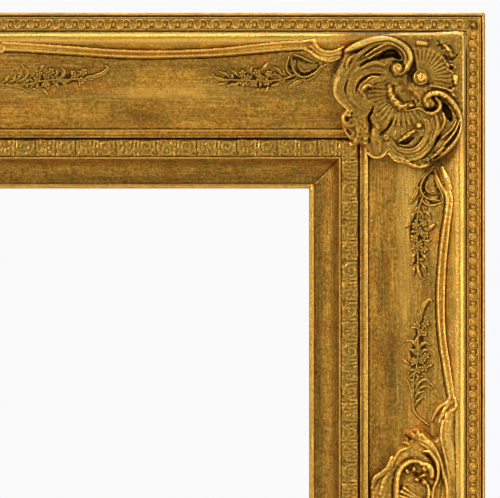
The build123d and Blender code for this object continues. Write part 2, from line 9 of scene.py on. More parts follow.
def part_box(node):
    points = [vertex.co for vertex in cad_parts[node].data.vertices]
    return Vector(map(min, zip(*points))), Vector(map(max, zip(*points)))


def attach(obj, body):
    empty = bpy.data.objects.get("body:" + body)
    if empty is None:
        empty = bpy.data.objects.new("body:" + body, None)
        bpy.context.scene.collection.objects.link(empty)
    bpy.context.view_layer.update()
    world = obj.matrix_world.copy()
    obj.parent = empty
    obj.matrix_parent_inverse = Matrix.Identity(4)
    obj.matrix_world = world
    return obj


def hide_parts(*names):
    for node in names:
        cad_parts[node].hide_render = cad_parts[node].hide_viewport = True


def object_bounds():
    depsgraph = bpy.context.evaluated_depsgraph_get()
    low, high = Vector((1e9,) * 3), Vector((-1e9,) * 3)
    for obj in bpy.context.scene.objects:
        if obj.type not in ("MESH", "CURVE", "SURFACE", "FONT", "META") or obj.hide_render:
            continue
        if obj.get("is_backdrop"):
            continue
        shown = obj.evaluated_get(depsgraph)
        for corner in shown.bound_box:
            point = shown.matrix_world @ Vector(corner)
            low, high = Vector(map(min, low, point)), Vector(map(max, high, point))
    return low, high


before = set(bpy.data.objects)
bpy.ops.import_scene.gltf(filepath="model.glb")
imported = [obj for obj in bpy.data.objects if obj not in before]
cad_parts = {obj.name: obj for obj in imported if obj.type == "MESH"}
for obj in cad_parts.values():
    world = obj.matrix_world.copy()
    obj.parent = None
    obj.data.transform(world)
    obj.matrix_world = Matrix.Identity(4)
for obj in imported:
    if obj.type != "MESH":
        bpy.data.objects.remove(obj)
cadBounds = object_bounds()
mm = 0.001
print("stage: packed frame loaded")

# The photograph shows the upper right corner square on. Its pixels give places on the frame.
photo = {
    "mmPerPixel": 0.6295,
    "rightEdge": 485.7,
    "topEdge": 12.0,
    "centre": (250.0, 249.0),
    "width": 500,
    "lens": 900.0,
    "sensor": 36.0,
}

_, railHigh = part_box("top_rail")
_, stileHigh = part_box("right_stile")
halfWidth = railHigh.x / mm
halfHeight = stileHigh.z / mm
timberBack = -railHigh.y / mm  # how far the timber's back stands off the wall


def fromPhoto(points):
    # photograph pixels to millimetres along the upper rail and inward from its outer edge
    points = np.asarray(points, float)
    along = (photo["rightEdge"] - points[:, 0]) * photo["mmPerPixel"]
    inward = (points[:, 1] - photo["topEdge"]) * photo["mmPerPixel"]
    return np.stack([along, inward], 1)


# The moulding's front, drawn as millimetres inward from the outer edge and height above the back
moulding = {
    "alongStep": 3.0,
    "lip": [
        (0, 21.0), (0.15, 22.6), (0.6, 23.9), (1.3, 24.5), (1.9, 24.3), (2.2, 23.3), (2.7, 23.1), (3.1, 24.2),
        (3.7, 24.3), (3.8, 23.0),
    ],
    "beadSeat": [(3.8, 23.0), (11.5, 29.5), (12.0, 29.0), (12.5, 29.4)],
    "ridgeWall": [(12.52, 32.0), (12.56, 42.6), (12.6, 44.3), (12.9, 45.6)],
    "ridge": ((12.9, 45.6), (19.6, 46.5), -2.0, 12),
    "slope": [(19.6, 46.5), (21.0, 45.4), (25.0, 42.8), (29.0, 40.1), (33.0, 37.5)],
    "cove": ((33.0, 37.5), (73.8, 31.5), 4.5, 30),
    "fillet": [
        (73.8, 31.5), (73.9, 33.2), (74.2, 34.0), (74.6, 34.2), (75.1, 34.0), (75.5, 33.4), (76.2, 33.4),
        (76.8, 33.4), (77.6, 33.3), (79.0, 33.3), (79.1, 30.5), (79.9, 30.5), (91.3, 30.5), (91.35, 32.6),
        (91.7, 32.8), (92.0, 32.7),
    ],
    "innerCove": ((92.0, 32.7), (107.0, 21.6), 3.2, 14),
    "sightLip": [
        (107.0, 21.6), (107.6, 21.5), (107.9, 22.5), (108.5, 23.0), (110.2, 22.9), (110.8, 22.3),
        (111.0, 21.3),
    ],
    "back": [(111.0, 13.0), (104.5, 13.0), (104.5, 0.0), (0.0, 0.0)],
    "wobble": [(0.16, 14, 0), (0.07, 4.5, 9)],  # how high, how wide, and how far on in the seeds
}
# Where the gilder's rag rubbed the toning away and where it stayed, with painted highlights and
# painted shade laid over it. Rows are spans inward, and the places along are distances from a corner
# or, for the sprigs by the centre castings, from the middle.
wear = {
    # row, and how much brighter it is there, from rubbing and toning and from a painted highlight on the
    # ridge and the middle of the cove and painted shade in the groove before the ridge
    "rubbedAndPaintedLight": [
        (0, 0), (12, -0.6), (12.9, -1.5), (13.6, -0.1), (14.4, 0.36), (16, 0.44), (17.2, 0.66), (18.6, 0.68),
        (20, 0.4), (24, 0.08), (36, -0.08), (44, 0.05), (48, 0.44), (53, 0.44), (57, 0.04), (64, -0.14),
        (72, -0.14), (75, -0.1), (76.2, 0.1), (77.2, -0.4), (79, -0.6), (92, -0.1), (98, -0.16), (105, -0.45),
        (107, -0.25), (109, 0.35), (111, 0.1),
    ],
    # a crest or hollow is judged over this reach, in tenths of a millimetre, and is whole at this height
    "narrow": (14, 0.9),
    "broad": (60, 5.0),
    "narrowSpan": (-0.7, 0.6),
    "broadShare": 0.5,
    "cornerSprigs": (92, 172),
    "centreSprigs": (44, 134),
    "sprigEdge": 16,
    "sprigRow": (24, 54),
    "sprigRowEdge": 14,
    "cornerTone": (72, 100),
    "cornerRow": (13.5, 30),
    "cornerRowEdge": 3,
    "ribRow": (21, 36),
    "ribRowEdge": 6,
    # how much toning lies by the sprigs, the corners and the ribs, and how far it dims what is bright
    "toning": (0.85, 1.0, 0.3),
    "dimming": (0.2, 0.75),
    "untouched": 0.1,
    "firstRow": 0.1,
    # long patches that hands and rags wore bright
    "patchAmount": 0.26,
    "patchLength": 46.0,
    "patchWidth": 7.0,
    "patchRow": (30, 73),
    "patchRowEdge": 6,
    # bands of painted highlight and painted shade, which differ between the stiles and the top and bottom
    # rails: how much, row and its soft edge, reach along and its soft edge
    "stilePaintedLight": [
        (1.1, (74.6, 76.5), 0.6, (-999, 999), 1),
        (1.25, (11.3, 12.7), 0.5, (-999, 999), 1),
        (0.45, (48.5, 55.5), 4, (98, 140), 20),
        (-0.18, (57, 73.6), 5, (-999, 999), 1),
    ],
    "railPaintedShade": [
        (-0.3, (46, 55), 4, (-999, 145), 50),
        (-0.7, (12.2, 15.4), 0.6, (-999, 86), 28),
    ],
}


def within(values, span, edge):
    # 1 inside a span and 0 outside it, with soft edges
    values = np.asarray(values, float)
    return np.clip((values - span[0]) / edge + 0.5, 0, 1) * np.clip((span[1] - values) / edge + 0.5, 0, 1)


def bowed(start, end, sag, steps):
    # points of a shallow arc between two points; a positive sag bows it towards the back
    start = np.array(start, float)
    end = np.array(end, float)
    run = end - start
    side = np.array([run[1], -run[0]]) / np.linalg.norm(run)
    share = np.linspace(0, 1, steps + 1)[:, None]
    return start + share * run + side * sag * 4 * share * (1 - share)


frontLine = np.concatenate([
    moulding["lip"], moulding["beadSeat"][1:], moulding["ridgeWall"], bowed(*moulding["ridge"])[1:],
    moulding["slope"][1:], bowed(*moulding["cove"])[1:], moulding["fillet"][1:],
    bowed(*moulding["innerCove"])[1:], moulding["sightLip"][1:],
])
sectionLoop = np.concatenate([frontLine, moulding["back"]])
onFront = np.arange(len(sectionLoop)) < len(frontLine)
mouldingWidth = frontLine[-1][0]


def frontHeight(inward):
    # height of the moulding's front above its back, at any distance inward
    reach = np.maximum.accumulate(frontLine[:, 0] + np.arange(len(frontLine)) * 1e-6)
    return np.interp(inward, reach, frontLine[:, 1])


noise = {"cells": 64, "startAlong": 17.3, "startInward": 5.7}


def smoothNoise(first, second, size, seed):
    # soft random hills about size millimetres across, from -1 to 1
    count = noise["cells"]
    cells = np.random.default_rng(seed).uniform(-1, 1, (count, count))
    u = np.asarray(first) / size + noise["startAlong"]
    v = np.asarray(second) / size + noise["startInward"]
    iu = np.floor(u).astype(int)
    iv = np.floor(v).astype(int)
    fu = (u - iu) ** 2 * (3 - 2 * (u - iu))
    fv = (v - iv) ** 2 * (3 - 2 * (v - iv))
    corner = lambda du, dv: cells[(iu + du) % count, (iv + dv) % count]
    top = corner(0, 0) * (1 - fu) + corner(1, 0) * fu
    bottom = corner(0, 1) * (1 - fu) + corner(1, 1) * fu
    return top * (1 - fv) + bottom * fv


# The four sides: how distances along and inward turn into X and Z
sides = {
    "top": lambda along, inward: (halfWidth - along, halfHeight - inward),
    "bottom": lambda along, inward: (halfWidth - along, inward - halfHeight),
    "right": lambda along, inward: (halfWidth - inward, halfHeight - along),
    "left": lambda along, inward: (inward - halfWidth, halfHeight - along),
}
sideLength = {
    "top": 2 * halfWidth, "bottom": 2 * halfWidth,
    "right": 2 * halfHeight, "left": 2 * halfHeight,
}


def addAttribute(mesh, name, values, kind="FLOAT"):
    layer = mesh.attributes.new(name, kind, "POINT")
    key = "vector" if kind == "FLOAT_VECTOR" else "value"
    layer.data.foreach_set(key, np.asarray(values, np.float32).ravel())


def netFaces(rows, columns, closed=True, turned=False, base=0):
    # the quads between the rows of a net, whose rows are closed loops unless they are open lines
    faces = []
    for row in range(rows - 1):
        first, second = base + row * columns, base + (row + 1) * columns
        for column in range(columns if closed else columns - 1):
            ahead = (column + 1) % columns
            quad = (first + column, second + column, second + ahead, first + ahead)
            faces.append((quad[0], quad[3], quad[2], quad[1]) if turned else quad)
    return faces


def makeMesh(name, corners, faces, place, carve, patina):
    # corners in millimetres; place is (along, inward, height), carve is how hollow or proud a point is,
    # which also carries painted highlights and painted shade, and patina is how much toning the gilder left
    # there
    mesh = bpy.data.meshes.new(name)
    mesh.from_pydata((np.asarray(corners) * mm).tolist(), [], faces)
    addAttribute(mesh, "railPlace", place, "FLOAT_VECTOR")
    addAttribute(mesh, "carve", carve)
    addAttribute(mesh, "patina", patina)
    mesh.shade_smooth()
    return mesh


def addPiece(name, mesh, material, nodes, body="frame"):
    piece = bpy.data.objects.new(name, mesh)
    bpy.context.scene.collection.objects.link(piece)
    piece.data.materials.clear()
    piece.data.materials.append(material)
    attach(piece, body)
    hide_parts(*nodes)
    return piece


# Materials. Colours are sRGB hex values.
def linear(hexColour):
    channels = [int(hexColour[i:i + 2], 16) / 255 for i in (1, 3, 5)]
    return tuple(c / 12.92 if c <= 0.04045 else ((c + 0.055) / 1.055) ** 2.4 for c in channels) + (1.0,)


def addNode(tree, kind, settings=None, links=None):
    # links gives each input a value, or a (node, output) pair
    node = tree.nodes.new(kind)
    for key, value in (settings or {}).items():
        setattr(node, key, value)
    for key, value in (links or {}).items():
        if isinstance(value, tuple) and len(value) == 2 and isinstance(value[0], bpy.types.Node):
            tree.links.new(value[0].outputs[value[1]], node.inputs[key])
        else:
            node.inputs[key].default_value = value
    return node


def newMaterial(name):
    material = bpy.data.materials.new(name)
    material.use_nodes = True
    material.node_tree.nodes.clear()
    return material, material.node_tree


# Oil gilding: gold leaf laid over a red-brown ground, toned with umber and then rubbed. The leaf is
# bright where it is rubbed and where highlights are painted on crests, the toning and painted shade
# darken every hollow, and the ground shows as orange patches.
gilding = {
    "leaf": "#CA9132",
    "rubbedAndPaintedLight": "#F3BC54",
    # a pale painted highlight for the brightest crests
    "paintedHighlight": "#FFCF66",
    "toned": "#8C6E2C",
    "ground": "#B0661A",
    "umber": "#6A4714",
    # umber toning in the hollows, deepened into painted shade there, and also the colour of the specks
    "hollow": "#1A0F04",
    "toningSize": 9.0,
    "mottleSize": 2.0,
    "streakWidth": 1.1,
    "streakLength": 26.0,
    "patchSize": 21.0,
    "grain": 1.1,
    "speckSize": 1.5,
    "roughest": 0.56,
    "smoothest": 0.36,
    "burnish": 0.17,
    "patinaShare": 0.34,
    "metallic": 0.93,
}
# how much of each layer a finish shows, and the depth of its grain in millimetres
finishes = {
    "gildedTimber": {
        "tone": 0.75, "patch": 0.7, "streak": 0.6, "mottle": 0.75, "hollow": 0.95, "rub": 0.9, "paintedHighlightShare": 0.1,
        "grainDepth": 0.26,
    },
    "gildedComposition": {
        "tone": 0.8, "patch": 0.2, "streak": 0.2, "mottle": 0.55, "hollow": 0.94, "rub": 0.95, "paintedHighlightShare": 0.55,
        "grainDepth": 0.30,
    },
    "gildedStrip": {
        "tone": 0.8, "patch": 0.2, "streak": 0.15, "mottle": 0.6, "hollow": 0.88, "rub": 0.9, "paintedHighlightShare": 0.5,
        "grainDepth": 0.24,
    },
}


def makeGilding(name):
    amount = finishes[name]
    material, tree = newMaterial(name)
    place = addNode(tree, "ShaderNodeAttribute", {"attribute_name": "railPlace"})
    carve = addNode(tree, "ShaderNodeAttribute", {"attribute_name": "carve"})
    patina = addNode(tree, "ShaderNodeAttribute", {"attribute_name": "patina"})
    across = 1 / gilding["streakWidth"]
    streakAt = addNode(tree, "ShaderNodeVectorMath", {"operation": "MULTIPLY"}, {
        0: (place, "Vector"), 1: (1 / gilding["streakLength"], across, across)})
    streaks = addNode(tree, "ShaderNodeTexNoise", {}, {
        "Vector": (streakAt, "Vector"), "Scale": 1.0, "Detail": 3.0})
    noises = {}
    for key, detail, rough in (
        ("patchSize", 3.0, 0.6), ("toningSize", 4.0, 0.65), ("mottleSize", 3.0, 0.7), ("grain", 2.0, 0.7),
        ("speckSize", 2.0, 0.75),
    ):
        noises[key] = addNode(tree, "ShaderNodeTexNoise", {}, {
            "Vector": (place, "Vector"), "Scale": 1 / gilding[key], "Detail": detail, "Roughness": rough})
    aged = addNode(tree, "ShaderNodeMath", {"operation": "MULTIPLY_ADD"}, {
        0: (patina, "Fac"), 1: gilding["patinaShare"], 2: (noises["toningSize"], "Fac")})
    # each layer: what drives it, where it starts and is whole, how much of it there is, and its colour
    layers = [
        ((aged, 0), 0.42, 0.66, amount["tone"], "toned"),
        ((noises["patchSize"], "Fac"), 0.50, 0.66, amount["patch"], "ground"),
        ((streaks, "Fac"), 0.52, 0.74, amount["streak"], "rubbedAndPaintedLight"),
        ((noises["mottleSize"], "Fac"), 0.52, 0.30, amount["mottle"], "umber"),
        ((noises["mottleSize"], "Fac"), 0.54, 0.76, amount["mottle"], "rubbedAndPaintedLight"),
        # proud places take the rubbed and pale polished colours, real rubbing with painted highlights, and
        # hollow places take the near-black, toning with painted shade
        ((carve, "Fac"), 0.15, 0.85, amount["rub"], "rubbedAndPaintedLight"),
        ((carve, "Fac"), 0.7, 1.0, amount["paintedHighlightShare"], "paintedHighlight"),
        ((streaks, "Fac"), 0.47, 0.28, amount["streak"], "toned"),
        ((carve, "Fac"), -0.06, -0.75, amount["hollow"], "hollow"),
        ((noises["speckSize"], "Fac"), 0.38, 0.30, 0.8, "hollow"),
        ((noises["grain"], "Fac"), 0.60, 0.70, 0.5, "rubbedAndPaintedLight"),
        ((noises["grain"], "Fac"), 0.40, 0.31, 0.6, "umber"),
    ]
    colour = linear(gilding["leaf"])
    for source, start, whole, most, over in layers:
        cover = addNode(tree, "ShaderNodeMapRange", {}, {
            "Value": source, "From Min": start, "From Max": whole, "To Max": most})
        layer = addNode(tree, "ShaderNodeMix", {"data_type": "RGBA"}, {
            0: (cover, 0), 6: colour, 7: linear(gilding[over])})
        colour = (layer, 2)
    matt = addNode(tree, "ShaderNodeMapRange", {}, {
        "Value": (noises["grain"], "Fac"), "From Min": 0.3, "From Max": 0.7, "To Min": gilding["roughest"],
        "To Max": gilding["smoothest"]})
    burnish = addNode(tree, "ShaderNodeMapRange", {}, {
        "Value": (carve, "Fac"), "From Min": 0.15, "From Max": 0.85, "To Max": gilding["burnish"]})
    roughness = addNode(tree, "ShaderNodeMath", {"operation": "SUBTRACT"}, {0: (matt, 0), 1: (burnish, 0)})
    height = addNode(tree, "ShaderNodeMath", {"operation": "ADD"}, {
        0: (noises["grain"], "Fac"), 1: (streaks, "Fac")})
    bump = addNode(tree, "ShaderNodeBump", {}, {
        "Height": (height, 0), "Strength": 1.0, "Distance": amount["grainDepth"] * mm})
    surface = addNode(tree, "ShaderNodeBsdfPrincipled", {}, {
        "Base Color": colour, "Roughness": (roughness, 0), "Metallic": gilding["metallic"],
        "Normal": (bump, 0)})
    addNode(tree, "ShaderNodeOutputMaterial", {}, {"Surface": (surface, 0)})
    return material


railGilding = makeGilding("gildedTimber")
castGilding = makeGilding("gildedComposition")
stripGilding = makeGilding("gildedStrip")

# Pine rails, planed and left bare behind: pale ends of growth rings run along the timber
timber = {
    "pale": "#C9A373", "ring": "#A67C4C", "grainWidth": 1.6, "grainLength": 60.0, "roughness": 0.72,
    "grainDepth": 0.2,
}
railTimber, tree = newMaterial("planedPine")
place = addNode(tree, "ShaderNodeAttribute", {"attribute_name": "railPlace"})
across = 1 / timber["grainWidth"]
stretched = addNode(tree, "ShaderNodeVectorMath", {"operation": "MULTIPLY"}, {
    0: (place, "Vector"), 1: (1 / timber["grainLength"], across, across)})
rings = addNode(tree, "ShaderNodeTexNoise", {}, {
    "Vector": (stretched, "Vector"), "Scale": 1.0, "Detail": 4.0, "Roughness": 0.55, "Distortion": 0.3})
ringShare = addNode(tree, "ShaderNodeMapRange", {}, {
    "Value": (rings, "Fac"), "From Min": 0.38, "From Max": 0.66})
wood = addNode(tree, "ShaderNodeMix", {"data_type": "RGBA"}, {
    0: (ringShare, 0), 6: linear(timber["pale"]), 7: linear(timber["ring"])})
planed = addNode(tree, "ShaderNodeBump", {}, {
    "Height": (rings, "Fac"), "Strength": 0.6, "Distance": timber["grainDepth"] * mm})
bareWood = addNode(tree, "ShaderNodeBsdfPrincipled", {}, {
    "Base Color": (wood, 2), "Roughness": timber["roughness"], "Normal": (planed, 0)})
addNode(tree, "ShaderNodeOutputMaterial", {}, {"Surface": (bareWood, 0)})

# Hardware finishes. Each is one metal or cloth with the marks of how it was made.
hardware = {
    "platedBrass": {
        "colour": "#C9A24A", "worn": "#8F6E2C", "metallic": 1.0, "roughness": (0.24, 0.42),
        "markSize": 1.2, "markDepth": 0.03,
    },
    "zincPlatedSteel": {
        "colour": "#B9BDC0", "worn": "#8C9196", "metallic": 1.0, "roughness": (0.30, 0.48),
        "markSize": 0.9, "markDepth": 0.03,
    },
    "drawnSteel": {
        "colour": "#9A9B9C", "worn": "#6B6A68", "metallic": 1.0, "roughness": (0.28, 0.46),
        "markSize": 0.7, "markDepth": 0.02,
    },
    "woolFelt": {
        "colour": "#4A4742", "worn": "#2F2C29", "metallic": 0.0, "roughness": (0.88, 0.97),
        "markSize": 0.45, "markDepth": 0.25,
    },
}


def makeHardware(name):
    finish = hardware[name]
    material, tree = newMaterial(name)
    at = addNode(tree, "ShaderNodeTexCoord")
    markSize = finish["markSize"] * mm
    broad = addNode(tree, "ShaderNodeTexNoise", {}, {
        "Vector": (at, "Object"), "Scale": 1 / (6 * markSize), "Detail": 3.0})
    fine = addNode(tree, "ShaderNodeTexNoise", {}, {
        "Vector": (at, "Object"), "Scale": 1 / markSize, "Detail": 2.0, "Roughness": 0.6})
    worn = addNode(tree, "ShaderNodeMapRange", {}, {
        "Value": (broad, "Fac"), "From Min": 0.42, "From Max": 0.68})
    colour = addNode(tree, "ShaderNodeMix", {"data_type": "RGBA"}, {
        0: (worn, 0), 6: linear(finish["colour"]), 7: linear(finish["worn"])})
    smoothest, roughest = finish["roughness"]
    rough = addNode(tree, "ShaderNodeMapRange", {}, {
        "Value": (fine, "Fac"), "From Min": 0.3, "From Max": 0.7, "To Min": smoothest, "To Max": roughest})
    bump = addNode(tree, "ShaderNodeBump", {}, {
        "Height": (fine, "Fac"), "Strength": 1.0, "Distance": finish["markDepth"] * mm})
    surface = addNode(tree, "ShaderNodeBsdfPrincipled", {}, {
        "Base Color": (colour, 2), "Roughness": (rough, 0), "Metallic": finish["metallic"],
        "Normal": (bump, 0)})
    addNode(tree, "ShaderNodeOutputMaterial", {}, {"Surface": (surface, 0)})
    return material


fittings = {
    "platedBrass": ["hanger_strap_right", "hanger_strap_left", "d_ring_right", "d_ring_left"],
    "zincPlatedSteel": [
        "turn_button_top_right", "turn_button_top_left",
        "turn_button_bottom_right", "turn_button_bottom_left",
    ],
    "drawnSteel": ["v_nails", "turn_button_screws", "strap_screws"],
    "woolFelt": ["wall_pad_right", "wall_pad_left"],
}
for name, nodes in fittings.items():
    finish = makeHardware(name)
    for node in nodes:
        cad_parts[node].data.materials.clear()
        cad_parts[node].data.materials.append(finish)
print("stage: materials made")


# The four rails, with the wobble of a hand scraped ground
def softened(values, reach):
    kernel = np.hanning(2 * reach + 3)
    kernel /= kernel.sum()
    padded = np.pad(values, reach + 1, mode="edge")
    return np.convolve(padded, kernel, mode="valid")


def railWearAndPaintedLight(side, along, inwardGrid, seed):
    # how hollow or proud each point of a rail looks, with painted highlights and painted shade, and how much
    # toning lies there
    length = sideLength[side]
    inward = sectionLoop[:, 0]
    fine = np.linspace(0, mouldingWidth, round(10 * mouldingWidth) + 1)
    profile = frontHeight(fine)
    narrow, broad = [
        np.interp(inward, fine, profile - softened(profile, reach)) / whole
        for reach, whole in (wear["narrow"], wear["broad"])
    ]
    rubbedAndPaintedLight = np.interp(inward, *np.transpose(wear["rubbedAndPaintedLight"]))
    carve = np.clip(narrow, *wear["narrowSpan"]) + wear["broadShare"] * np.clip(broad, -1, 1) + rubbedAndPaintedLight
    carve = np.broadcast_to(carve, along.shape).copy()
    fromEnd = np.minimum(along, length - along)
    fromMiddle = np.abs(along - length / 2)
    nearSprig = np.maximum(
        within(fromEnd, wear["cornerSprigs"], wear["sprigEdge"]),
        within(fromMiddle, wear["centreSprigs"], wear["sprigEdge"]),
    ) * within(inwardGrid, wear["sprigRow"], wear["sprigRowEdge"])
    low, high = wear["cornerTone"]
    nearCorner = np.clip((high - fromEnd) / (high - low), 0, 1)
    nearCorner = nearCorner * within(inwardGrid, wear["cornerRow"], wear["cornerRowEdge"])
    nearRib = within(inwardGrid, wear["ribRow"], wear["ribRowEdge"])
    bySprig, byCorner, byRib = wear["toning"]
    patina = np.clip(bySprig * nearSprig + byCorner * nearCorner + byRib * nearRib, 0, 1)
    bySprig, byCorner = wear["dimming"]
    carve -= (bySprig * nearSprig + byCorner * nearCorner) * np.clip(carve, 0, 1)
    handled = smoothNoise(along / wear["patchLength"], inwardGrid / wear["patchWidth"], 1.0, seed + 20)
    carve += wear["patchAmount"] * handled * within(inwardGrid, wear["patchRow"], wear["patchRowEdge"])
    # painted highlight and painted shade, in bands that differ between the stiles and the rails
    bands = wear["stilePaintedLight" if side in ("left", "right") else "railPaintedShade"]
    for amount, row, rowEdge, reach, reachEdge in bands:
        carve += amount * within(inwardGrid, row, rowEdge) * within(fromEnd, reach, reachEdge)
    # the side of the ridge that faces outward, the outer edge and the back are untouched
    wallFoot, wallTop = moulding["ridgeWall"][0][0], moulding["ridgeWall"][1][0]
    rubbable = onFront & (inward > wear["firstRow"]) & ~((inward >= wallFoot) & (inward <= wallTop))
    carve = np.clip(np.where(rubbable, carve, wear["untouched"]), -1, 1)
    return carve, patina


def makeRail(side):
    length = sideLength[side]
    steps = int(length / moulding["alongStep"])
    share = np.linspace(0, 1, steps + 1)
    inward = sectionLoop[:, 0]
    along = inward[None, :] + share[:, None] * (length - 2 * inward[None, :])
    seed = 11 + list(sides).index(side)
    inwardGrid = np.broadcast_to(inward, along.shape)
    height = np.broadcast_to(sectionLoop[:, 1], along.shape).copy()
    wobble = sum(
        amount * smoothNoise(along, inwardGrid, size, seed + later)
        for amount, size, later in moulding["wobble"]
    )
    height[:, onFront] += wobble[:, onFront]
    carve, patina = railWearAndPaintedLight(side, along, inwardGrid, seed)
    x, z = sides[side](along, inwardGrid)
    corners = np.stack([x, -timberBack - height, z], -1).reshape(-1, 3)
    rows, columns = along.shape
    faces = netFaces(rows, columns, turned=True)
    faces.append(tuple(range(columns)))
    faces.append(tuple(range((rows - 1) * columns, rows * columns))[::-1])
    place = np.stack([along, inwardGrid, height], -1).reshape(-1, 3)
    mesh = makeMesh("rail" + side, corners, faces, place, carve.ravel(), patina.ravel())
    shell = bmesh.new()
    shell.from_mesh(mesh)
    bmesh.ops.recalc_face_normals(shell, faces=shell.faces)
    shell.to_mesh(mesh)
    shell.free()
    behind = [face % columns >= len(frontLine) - 1 for face in range(columns * (rows - 1))] + [True, True]
    mesh.polygons.foreach_set("use_smooth", [not flat for flat in behind])
    return mesh


railNodes = {"top": "top_rail", "bottom": "bottom_rail", "right": "right_stile", "left": "left_stile"}
for side, node in railNodes.items():
    rail = addPiece("rail_" + side, makeRail(side), railGilding, [node])
    rail.data.materials.append(railTimber)
    for face in rail.data.polygons:
        if face.normal.y > 0.5:  # the side that faces the wall
            face.material_index = 1
print("stage: rails made")


# Carved relief. A field is a square net of points near the upper right corner, in millimetres along
# and inward, with a ground that the carving stands on and a bed that the casting is glued to.
def smoothLine(points, perSpan=10):
    # a curve through given points
    points = np.asarray(points, float)
    if len(points) < 3:
        return np.linspace(points[0], points[-1], perSpan + 1)
    ends = np.vstack([2 * points[0] - points[1], points, 2 * points[-1] - points[-2]])
    line = []
    share = np.linspace(0, 1, perSpan, endpoint=False)[:, None]
    for before, start, end, after in zip(ends, ends[1:], ends[2:], ends[3:]):
        bend = 2 * before - 5 * start + 4 * end - after
        twist = 3 * start - before - 3 * end + after
        line.append(0.5 * (2 * start + (end - before) * share + bend * share ** 2 + twist * share ** 3))
    return np.vstack(line + [points[-1:]])


relief = {
    # within this reach of the mitre the ground is read up to this far outward, which rounds it over
    "mitreReach": 6.0,
    "mitreShift": 1.5,
    "uncarved": -99.0,
    # the skirt goes this far below the bed, and a point shows down to this far below it
    "skirt": 0.9,
    "shown": 0.6,
    # small and large carving: the reach that a point is compared over, and the height that is whole
    "fine": (1.3, 0.55),
    "broad": (4.5, 3.2),
    # within this height of the bed, where the casting meets the moulding, painted shade with some toning
    # darkens what is there
    "foot": 0.9,
    "footShadeAndTone": (0.4, 0.8),
}


# Each kind of casting: the net's step in millimetres; the depth, size and seed of its grain; how far
# hollows stay dark with toning and painted shade and crests are rubbed bright with painted highlights,
# how much brighter all of it is and how much toning lies on it; and how many net steps its cast surface
# is softened over
castings = {
    "corner": {"step": 0.42, "grain": (0.28, 1.4, 3), "tone": (0.55, 0.5, -0.03, 0.75), "soften": 1},
    "rib": {"step": 0.45, "grain": (0.16, 1.6, 21), "tone": (0.75, 0.9, 0.6, 0.0), "soften": 0},
    "sprig": {"step": 0.42, "grain": (0.14, 1.4, 31), "tone": (0.9, 0.55, -0.08, 0.8), "soften": 0},
    "centre": {"step": 0.45, "grain": (0.26, 1.3, 41), "tone": (0.45, 0.8, 0.14, 0.35), "soften": 1},
}


def makeField(low, high, step, ground=None):
    # low and high are photograph pixels; ground gives the height at a distance inward
    corners = fromPhoto([low, high])
    along = np.arange(corners[:, 0].min(), corners[:, 0].max(), step)
    inward = np.arange(corners[:, 1].min(), corners[:, 1].max(), step)
    alongNet, inwardNet = np.meshgrid(along, inward, indexing="ij")
    nearest = np.minimum(alongNet, inwardNet)
    gap = np.clip(1 - np.abs(alongNet - inwardNet) / relief["mitreReach"], 0, 1)
    bed = frontHeight(nearest)
    base = ground(nearest - gap ** 2 * relief["mitreShift"]) if ground else bed
    return {
        "along": alongNet, "inward": inwardNet, "bed": bed, "ground": base, "step": step,
        "height": np.full(bed.shape, relief["uncarved"]), "rub": np.zeros(bed.shape),
    }


forms = {
    "round": lambda u: np.sqrt(np.clip(1 - u ** 2, 0, 1)),
    "soft": lambda u: 0.5 + 0.5 * np.cos(np.pi * u),
    "ridge": lambda u: 1 - u,
    "leaf": lambda u: np.clip(1.25 * forms["round"](u) - 0.45 * np.exp(-(u / 0.16) ** 2), 0, 1),
    "trough": lambda u: np.sqrt(np.clip(1 - u ** 6, 0, 1)) * (0.55 + 0.45 * u ** 2),
}


def carveLine(field, kind, rise, width, points):
    # kind is a form, which stands on the ground unless it is followed by add, cut or rub; rise is in
    # millimetres, or for a rub how much brighter or darker the place is made, which paints highlights and
    # shade as well as rubbing; width and points are in photograph pixels
    form, _, way = kind.partition(" ")
    line = smoothLine(fromPhoto(points))
    travel = np.concatenate([[0], np.cumsum(np.linalg.norm(np.diff(line, axis=0), axis=1))])
    travel /= travel[-1]
    widths = np.atleast_1d(width).astype(float)
    rises = np.atleast_1d(rise).astype(float)
    half = np.interp(travel, np.linspace(0, 1, len(widths)), widths) * photo["mmPerPixel"] / 2
    lift = np.interp(travel, np.linspace(0, 1, len(rises)), rises)
    reach = half.max()
    inside = (
        (field["along"] > line[:, 0].min() - reach) & (field["along"] < line[:, 0].max() + reach)
        & (field["inward"] > line[:, 1].min() - reach) & (field["inward"] < line[:, 1].max() + reach)
    )
    spots = np.stack([field["along"][inside], field["inward"][inside]], -1)
    if not len(spots):
        return
    start, run = line[:-1], np.diff(line, axis=0)
    away = spots[:, None, :] - start[None]
    share = np.clip((away * run).sum(-1) / np.maximum((run ** 2).sum(-1), 1e-9), 0, 1)
    gap = np.linalg.norm(away - share[..., None] * run, axis=-1)
    nearest = gap.argmin(1)
    rows = np.arange(len(spots))
    share = share[rows, nearest]
    across = half[nearest] * (1 - share) + half[nearest + 1] * share
    raised = lift[nearest] * (1 - share) + lift[nearest + 1] * share
    u = gap[rows, nearest] / np.maximum(across, 1e-6)
    shape = np.where(u < 1, forms[form](np.minimum(u, 1)), 0)
    # a rub paints a highlight or a shade into the colour, beside the real rubbing
    if way == "rub":
        field["rub"][inside] += raised * shape
        return
    height = field["height"][inside]
    if not way:
        height = np.where(u < 1, np.maximum(height, field["ground"][inside] + raised * shape), height)
    elif way == "add":
        height = height + raised * shape
    else:
        height = height - raised * shape
    field["height"][inside] = height


def carveBalls(field, rise, radius, spots):
    for spot in spots:
        carveLine(field, "round", rise, 2 * radius, [spot, (spot[0] + 0.05, spot[1])])


def carveFan(field, kind, rise, centre, radii, angles, count, width):
    # flutes that spread from a centre; angles run clockwise from straight right in the photograph
    for flute in range(count):
        angle = math.radians(angles[0] + (angles[1] - angles[0]) * (flute + 0.5) / count)
        x, y = math.cos(angle), math.sin(angle)
        ends = [(centre[0] + radius * x, centre[1] + radius * y) for radius in radii]
        carveLine(field, kind, rise, width, ends)


